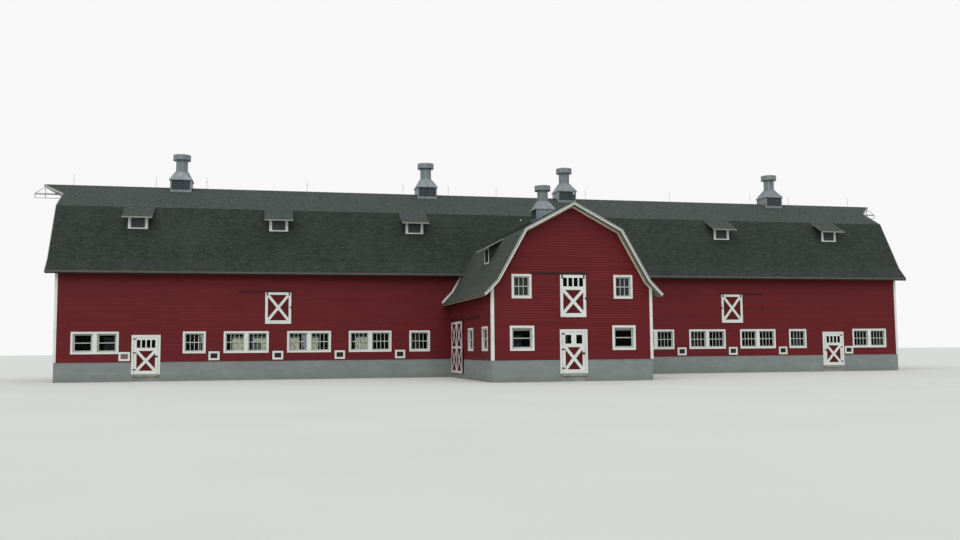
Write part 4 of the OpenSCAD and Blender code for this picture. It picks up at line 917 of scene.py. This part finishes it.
paintFaces("dormer_walls", 1, dormerCheek)
for nodeName in ("corner_boards", "rake_boards", "wing_flashing_boards", "window_frames_main",
                 "window_frames_wing", "door_casings"):
    paint(nodeName, white)
paint("eave_boards", eavePaint)

# The sashes sit back from the casings and are painted grey as their shade, up to a height
sashDepth = 0.012
shadedBelow = 3.5
for nodeName in ("window_frames_main", "window_frames_wing"):
    paint(nodeName, white, sashShadePaint)


def behindWall(centre, normal):
    if centre.z > shadedBelow:
        return False
    if centre.y < facadeY - wallDepth:
        return wingFrontY + sashDepth < centre.y and abs(centre.x) < halfWing - sashDepth
    return facadeY + sashDepth < centre.y < backY - sashDepth and abs(centre.x) < halfLength - sashDepth


paintFaces("window_frames_main", 1, behindWall)
paintFaces("window_frames_wing", 1, behindWall)

# The slats of a wall vent are painted dark as the shade of its opening, its frame is white; the one by the left
# door has pale slats
paint("wall_vents", white, ventSlatShadePaint, paleVentPaint)
ventSlats = {"proud": 0.009, "within": 0.0006, "paleFor": 0.4}
ventSlatFront = facadeY - ventSlats["proud"]
paintFaces("wall_vents", 1, lambda centre, normal: abs(normal.z) > 0.2 and abs(normal.y) > 0.2
           or normal.y < -0.9 and abs(centre.y - ventSlatFront) < ventSlats["within"])
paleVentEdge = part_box("wall_vents")[0].x + ventSlats["paleFor"]
for polygon in nodes["wall_vents"].data.polygons:
    if polygon.material_index == 1 and polygon.center.x < paleVentEdge:
        polygon.material_index = 2


# A ventilator on the main ridge, and where its shaded louvres lie from the ridge at its middle
ventilator = {"width": 0.712, "height": 1.081, "louvreAcross": 0.283, "louvreOut": (0.25, 0.335),
              "louvreUp": (-0.101, 0.205)}


# The ridge below a ventilator, and the ventilator's size beside one on the main ridge
def ventilatorPlace(low, high):
    size = (high.x - low.x) / ventilator["width"]
    return Vector(((low.x + high.x) / 2, (low.y + high.y) / 2, high.z - ventilator["height"] * size)), size


ventilatorPlaces = [ventilatorPlace(low, high) for low, high in looseBoxes("ventilators")]


def inLouvres(centre, normal):
    if normal.z < -0.3:
        return True
    half = ventilator["louvreAcross"]
    (near, far), (low, high) = ventilator["louvreOut"], ventilator["louvreUp"]
    for place, size in ventilatorPlaces:
        across, out, up = (centre - place) / size
        if place.y < facadeY:
            across, out = out, across
        if abs(across) < half and near < abs(out) < far and low < up < high:
            return True
    return False


# painted shade: the louvre fields and every face turned downward take the darker shaded zinc
paint("ventilators", zinc, louvreZinc)
paintFaces("ventilators", 1, inLouvres)

# The rods carry a white glass ball
paint("lightning_rods", rodMetal, ballGlass)
rodBall = {"height": 0.217, "radius": 0.020}
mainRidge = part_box("roof_front_upper")[1].z
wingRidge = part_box("wing_roof_upper")[1].z


def onBall(centre, normal):
    ridge = mainRidge if centre.y > facadeY else wingRidge
    return abs(centre.z - ridge - rodBall["height"]) < rodBall["radius"]


paintFaces("lightning_rods", 1, onBall)
paint("wall_lamp", lampEnamel)
paint("hay_carrier_rails", railPaint)
paint("door_tracks", trackPaint)
for nodeName in ("frame_hinges", "front_left_door_hinges", "front_right_door_hinges", "wing_door_hinges",
                 "sliding_door_hangers"):
    paint(nodeName, iron)

# Panes with a curtain behind them are of cleaner glass, those of the dormers are dusty
for nodeName in ("window_glass_main", "window_glass_wing", "upper_door_glass", "front_left_door_glass",
                 "front_right_door_glass", "wing_door_glass"):
    paint(nodeName, darkGlass, clearGlass, greyGlass, loftGlass)
curtainedFrom, curtainedTo = -9.95, -4.69
paintFaces("window_glass_main", 1, lambda centre, normal: centre.y < facadeY + wallDepth
           and centre.z < loftsAbove and curtainedFrom < centre.x < curtainedTo)
paintFaces("window_glass_main", 2, lambda centre, normal: centre.z > dormersAbove)
paintFaces("window_glass_wing", 3, lambda centre, normal: centre.z > loftsAbove)

# The crossed boards are white, the panels behind them red, and the leaves' rims painted near black as the shade
# of the gap around them
panelBack = 0.012
rim = 0.001
for nodeName in ("front_left_door", "front_right_door", "wing_door"):
    paint(nodeName, white, doorRed, gapShadePaint)
    low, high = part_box(nodeName)
    paintFaces(nodeName, 2, lambda centre, normal: centre.x < low.x + rim or centre.x > high.x - rim
               or centre.z > high.z - rim)
    panelY = high.y - panelBack
    paintFaces(nodeName, 1, lambda centre, normal: normal.y < -0.9 and abs(centre.y - panelY) < rim)
# painted shade: the panels and sides of the recesses and the door's front edge are near black
paint("wing_sliding_door", fadedPaint, recessPaint)
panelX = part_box("wing_sliding_door")[1].x - panelBack
paintFaces("wing_sliding_door", 1, lambda centre, normal: normal.x < -0.9 and abs(centre.x - panelX) < rim
           or normal.y < -0.9 or abs(normal.x) < 0.5 and centre.x > panelX - panelBack)
paint("upper_doors", white, doorRed)


def upperDoorPanel(centre, normal):
    for axis, side, wall in ((1, -1, facadeY), (1, -1, wingFrontY), (0, -1, -halfLength), (0, 1, halfLength)):
        if normal[axis] * side > 0.9 and abs(centre[axis] - (wall + side * panelBack)) < rim:
            return True
    return False


paintFaces("upper_doors", 1, upperDoorPanel)
print("nodes painted")


# The wing's rake board has a grey strip along the roof edge, a groove and a white strip below it; the groove's
# floor is painted near black as its shade
rakeTrim = {"strip": 0.028, "groove": 0.010, "rise": 0.005}


def cutRakeTrim():
    piece = copyOfNodes("rake_trim", ["rake_boards"])
    for material in (white, fasciaPaint, darkShadePaint):
        piece.data.materials.append(material)
    startEditing(piece)
    joinTriangles()
    pickFaces(piece, lambda centre, normal: normal.y < -0.99 and centre.y < wingFrontY - wallDepth)
    bpy.ops.mesh.inset(thickness=rakeTrim["strip"], use_even_offset=True)
    mesh = bmesh.from_edit_mesh(piece.data)
    inner = {v for face in mesh.faces if face.select for v in face.verts}
    for face in mesh.faces:
        within = [v for v in face.verts if v in inner]
        without = [v for v in face.verts if v not in inner]
        if abs(face.calc_center_median().x) > halfLength:  # the main barn's boards
            face.material_index = 1
        elif face.select:
            face.material_index = 2
        elif within and without:
            rise = sum(v.co.z for v in without) / len(without) - sum(v.co.z for v in within) / len(within)
            face.material_index = 1 if rise > rakeTrim["rise"] else 0
    bpy.ops.mesh.extrude_region_move(TRANSFORM_OT_translate={"value": (0, rakeTrim["groove"], 0)})
    stopEditing(piece)
    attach(piece, "barn")
    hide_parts("rake_boards")


cutRakeTrim()
print("rake trim done")

# Rolled rims and soldered seams of the ventilators
ventRims = {"hoodHalf": 0.352, "hoodLow": 0.207, "neckHigh": 0.518, "neckRadius": 0.184, "neckCorner": 0.138,
            "capRadius": 0.270, "capLow": 0.891, "capHigh": 1.046, "bead": 0.0065}


def addRod(start, end, radius, sides=8):
    along = Vector(end) - Vector(start)
    bpy.ops.mesh.select_all(action="DESELECT")
    bpy.ops.mesh.primitive_cylinder_add(vertices=sides, radius=radius, depth=along.length,
                                        location=(Vector(start) + Vector(end)) / 2,
                                        rotation=along.to_track_quat("Z", "Y").to_euler())


def ventilatorSeams():
    rings = []
    for place, size in ventilatorPlaces:
        for radius, height in ((ventRims["neckRadius"], ventRims["neckHigh"]),
                               (ventRims["capRadius"], ventRims["capLow"]),
                               (ventRims["capRadius"], ventRims["capHigh"])):
            bpy.ops.mesh.primitive_torus_add(location=place + Vector((0, 0, height * size)),
                                             major_radius=radius * size, minor_radius=ventRims["bead"],
                                             major_segments=40, minor_segments=8)
            rings.append(bpy.context.active_object)
    piece = emptyPiece("ventilator_seams")
    startEditing(piece)
    for place, size in ventilatorPlaces:
        half, neck = ventRims["hoodHalf"] * size, ventRims["neckCorner"] * size
        for x in (-1, 1):
            for y in (-1, 1):
                addRod(place + Vector((x * half, y * half, ventRims["hoodLow"] * size)),
                       place + Vector((x * neck, y * neck, ventRims["neckHigh"] * size)), ventRims["bead"])
    stopEditing(piece)
    for ring in rings:
        ring.select_set(True)
    bpy.ops.object.join()
    bpy.ops.object.transform_apply(location=True, rotation=True, scale=True)
    dress(piece, zinc, smoothAngle=40)


ventilatorSeams()
print("ventilator seams done")


# Bolt heads on the straps, the hinge plates, the latches and the hangers
bolt = {"radius": 0.0042, "head": 0.0028, "sunk": 0.0005, "boardFront": 0.018, "strap": 0.004,
        "strapPlaces": (0.036, 0.058), "shortestStrap": 0.07, "platePlace": 0.007, "widestPlate": 0.04,
        "hangerPlaces": (0.030, 0.085)}


def boltPiece(name, heads, outward, body):
    piece = emptyPiece(name)
    startEditing(piece)
    for place in heads:
        start = Vector(place) - Vector(outward) * bolt["sunk"]
        addRod(start, Vector(place) + Vector(outward) * bolt["head"], bolt["radius"], 6)
    stopEditing(piece)
    dress(piece, iron, body)


def frontHeads(nodeName, wallY):
    front = wallY - bolt["boardFront"] - bolt["strap"]
    heads = []
    for low, high in looseBoxes(nodeName):
        middle = (low + high) / 2
        if abs(middle.y - wallY) > wallDepth:
            continue
        if high.x - low.x < bolt["widestPlate"]:
            heads.append((low.x + bolt["platePlace"], front, middle.z))
        elif high.x - low.x > bolt["shortestStrap"]:
            heads += [(low.x + place, front, middle.z) for place in bolt["strapPlaces"]]
    return heads


for body, wallY in (("front_left_door", facadeY), ("front_right_door", facadeY), ("wing_door", wingFrontY)):
    boltPiece(body + "_bolts", frontHeads(body + "_hinges", wallY), (0, -1, 0), body)
boltPiece("hinge_plate_bolts", frontHeads("frame_hinges", facadeY) + frontHeads("frame_hinges", wingFrontY),
          (0, -1, 0), "barn")
hangerHeads = [(low.x, (low.y + high.y) / 2, low.z + place)
               for low, high in looseBoxes("sliding_door_hangers") for place in bolt["hangerPlaces"]]
boltPiece("sliding_door_bolts", hangerHeads, (-1, 0, 0), "wing_sliding_door")
print("bolts done")


# A small iron stay on the wall catches an upper door that has been slid open
doorStay = {"halfPlate": 0.017, "halfHeight": 0.023, "front": 0.014, "reach": 0.046, "halfRod": 0.005,
            "tip": 0.022, "overlap": 0.001, "edge": 0.0015}
stayPlaces = ((-0.987, wingFrontY, 2.152), (8.426, facadeY, 2.161))


def doorStays():
    piece = emptyPiece("upper_door_stays")
    startEditing(piece)
    half, tall, rod = doorStay["halfPlate"], doorStay["halfHeight"], doorStay["halfRod"]
    overlap = doorStay["overlap"]
    for x, wallY, z in stayPlaces:
        plateY, tipY = wallY - doorStay["front"], wallY - doorStay["reach"]
        addBar((x - half, plateY, z - tall), (x + half, wallY, z + tall))
        addBar((x - rod, tipY, z - rod), (x + rod, plateY + overlap, z + rod))
        addBar((x - rod, tipY, z + rod - overlap), (x + rod, tipY + 2 * rod, z + doorStay["tip"]))
    stopEditing(piece)
    applyModifier(piece, "BEVEL", width=doorStay["edge"], segments=1, limit_method="ANGLE")
    dress(piece, iron)


doorStays()


# Curtains behind six of the front panes, each hemmed over a thin steel wire. Each has the number of its pane,
# its cloth, its folds and its outline, in shares of the pane: how far down, the left edge and the right edge
curtains = {
    "curtain_scrap": (2, cotton, 2, [(-0.02, 0.82, 1.03), (0.35, 0.90, 1.03), (0.62, 0.97, 1.03)]),
    "curtain_a": (3, cotton, 3, [(0.29, 0.35, 1.03), (1.01, 0.35, 1.03)]),
    "curtain_b": (4, cotton, 4, [(0.29, 0.25, 1.03), (0.53, 0.25, 1.03), (0.60, 0.75, 1.03),
                                 (1.01, 0.75, 1.03)]),
    "curtain_c": (5, cotton, 4, [(0.27, -0.03, 0.58), (1.01, -0.03, 0.60)]),
    "curtain_side": (5, lavender, 2, [(-0.02, 0.84, 1.03), (0.5, 0.78, 1.03), (1.01, 0.88, 1.03)]),
    "curtain_d": (6, cotton, 3, [(0.27, -0.03, 0.42), (1.01, -0.03, 0.35)]),
    "curtain_e": (7, cotton, 4, [(0.26, 0.30, 1.03), (1.01, 0.28, 1.03)]),
}
# Folds have their full depth after the rows of growth, and below its heading the cloth is pressed to the
# wire by the hair that snug takes off
hanging = {"wireY": 0.078, "wireRadius": 0.0015, "overhang": 0.030, "cloth": 0.0008, "hem": 0.012,
           "fold": 0.007, "growth": 3, "sway": 0.4, "snug": 0.999, "columns": 56, "rows": 20}


def edgeAt(outline, down, side):
    for first, last in zip(outline, outline[1:]):
        if first[0] <= down <= last[0]:
            share = (down - first[0]) / (last[0] - first[0])
            return first[side] + (last[side] - first[side]) * share
    return outline[-1][side]


def hangCurtain(name, pane, material, folds, outline):
    low, high = pane
    width, height = high.x - low.x, high.z - low.z
    wireY = facadeY + hanging["wireY"]
    top, bottom = outline[0][0], outline[-1][0]
    touching = hanging["wireRadius"] + hanging["cloth"] / 2
    deselectAll()
    bpy.ops.mesh.primitive_grid_add(x_subdivisions=hanging["columns"], y_subdivisions=hanging["rows"], size=1)
    piece = bpy.context.active_object
    piece.name = piece.data.name = name
    mesh = startEditing(piece)
    rowShares = sorted({round(v.co.y, 4) for v in mesh.verts}, reverse=True)
    # the first rows go up behind the wire, over it and down in front of it, and folds grow in those below
    hem = [(-hanging["hem"], touching), (0, touching), (touching, 0), (0, -touching)]
    for v in mesh.verts:
        along = v.co.x + 0.5
        row = rowShares.index(round(v.co.y, 4))
        if row < len(hem):
            down = top
            drop, back = hem[row]
        else:
            below = row + 1 - len(hem)
            down = top + (bottom - top) * below / (len(rowShares) - len(hem))
            drop = 0
            fold = hanging["fold"] * min(1, below / hanging["growth"])
            sway = hanging["sway"] * math.sin(row * hanging["sway"])
            back = -hanging["snug"] * (touching + fold * (1 + math.sin(along * folds * math.tau + sway)))
        left = edgeAt(outline, down, 1)
        right = edgeAt(outline, down, 2)
        x = low.x + width * (left + (right - left) * along)
        v.co = Vector((x, wireY + back, high.z - height * down + drop))
    stopEditing(piece)
    area = sum(polygon.area for polygon in piece.data.polygons)
    length = height * (bottom - top) + 2 * hanging["hem"]
    widest = max(right - left for down, left, right in outline) * width
    applyModifier(piece, "SOLIDIFY", thickness=hanging["cloth"], offset=0.0)
    dress(piece, material, smoothAngle=60)
    return piece, area, length, widest


def hangCurtains():
    panes = sorted((box for box in looseBoxes("window_glass_main")
                    if box[0].y < facadeY + wallDepth and box[0].z < loftsAbove and box[0].x < 0),
                   key=lambda box: box[0].x)
    wires = emptyPiece("curtain_wires")
    startEditing(wires)
    for index, material, folds, outline in curtains.values():
        low, high = panes[index]
        height = high.z - (high.z - low.z) * outline[0][0]
        addRod((low.x - hanging["overhang"], facadeY + hanging["wireY"], height),
               (high.x + hanging["overhang"], facadeY + hanging["wireY"], height), hanging["wireRadius"])
    stopEditing(wires)
    dress(wires, wireSteel, smoothAngle=40)
    for name, (index, material, folds, outline) in curtains.items():
        piece, area, length, widest = hangCurtain(name, panes[index], material, folds, outline)


hangCurtains()
print("curtains done")


# The camera stands where the photograph was taken

view = {"place": (-7.7356, facadeY - 28.754, 0.8340), "lens": 35.62, "sensor": 36, "farthest": 400,
        "turn": 0.2238, "tilt": 0.0834, "roll": -0.0085}
turn, tilt, roll = view["turn"], view["tilt"], view["roll"]
cameraData = bpy.data.cameras.new("camera")
cameraData.lens = view["lens"]
cameraData.sensor_width = view["sensor"]
cameraData.clip_end = view["farthest"]
camera = bpy.data.objects.new("camera", cameraData)
bpy.context.scene.collection.objects.link(camera)
forward = Vector((math.sin(turn) * math.cos(tilt), math.cos(turn) * math.cos(tilt), math.sin(tilt)))
level = Vector((math.cos(turn), -math.sin(turn), 0))
upward = level.cross(forward)
side = math.cos(roll) * level + math.sin(roll) * upward
top = math.cos(roll) * upward - math.sin(roll) * level
camera.matrix_world = Matrix.Translation(view["place"]) @ Matrix((side, top, -forward)).transposed().to_4x4()
bpy.context.scene.camera = camera

# Overcast light: an even sky and one very soft sun
light = {"sky": "#F4F6F8", "skyStrength": 0.9, "skySeen": "#F8F8F8", "sunStrength": 1.6, "sunSpread": 70,
         "sunFrom": (-0.35, -0.75, 1.0)}
world = bpy.data.worlds.new("sky")
bpy.context.scene.world = world
world.use_nodes = True
skyTree = world.node_tree
skyTree.nodes.clear()
skyLight = addNode(skyTree, "ShaderNodeBackground", {"Color": light["sky"], "Strength": light["skyStrength"]})
skySeen = addNode(skyTree, "ShaderNodeBackground", {"Color": light["skySeen"], "Strength": 1.0})
rays = addNode(skyTree, "ShaderNodeLightPath").outputs
seen = addNode(skyTree, "ShaderNodeMath", {0: rays["Is Camera Ray"], 1: rays["Is Glossy Ray"]},
               operation="MAXIMUM")
seen = addNode(skyTree, "ShaderNodeMath", {0: seen, 1: rays["Is Transmission Ray"]}, operation="MAXIMUM")
sky = addNode(skyTree, "ShaderNodeMixShader", {0: seen, 1: skyLight, 2: skySeen})
addNode(skyTree, "ShaderNodeOutputWorld", {"Surface": sky})
sunData = bpy.data.lights.new("sun", "SUN")
sunData.energy = light["sunStrength"]
sunData.angle = math.radians(light["sunSpread"])
sun = bpy.data.objects.new("sun", sunData)
sun.rotation_euler = Vector(light["sunFrom"]).to_track_quat("Z", "Y").to_euler()
bpy.context.scene.collection.objects.link(sun)


# A plain pale floor, wide enough to meet the sky at the horizon
floorWidth = 700


def studioFloor():
    material, tree, place = newMaterial("studio_floor")
    patches = addNode(tree, "ShaderNodeTexNoise", {"Vector": place, "Scale": perMetre(2500), "Detail": 2})
    colour = addNode(tree, "ShaderNodeValToRGB", {"Fac": patches}, [(0.3, "#C0C1BE"), (0.7, "#C3C4C1")])
    finishMaterial(material, {"Base Color": colour, "Roughness": 0.9})
    deselectAll()
    bpy.ops.mesh.primitive_plane_add(size=floorWidth)
    floor = bpy.context.active_object
    floor.name = "studio_floor"
    bpy.ops.object.transform_apply(location=True, rotation=True, scale=True)
    floor.data.materials.append(material)


studioFloor()
scene = bpy.context.scene
scene.view_settings.view_transform = "Standard"

print("scene ready")
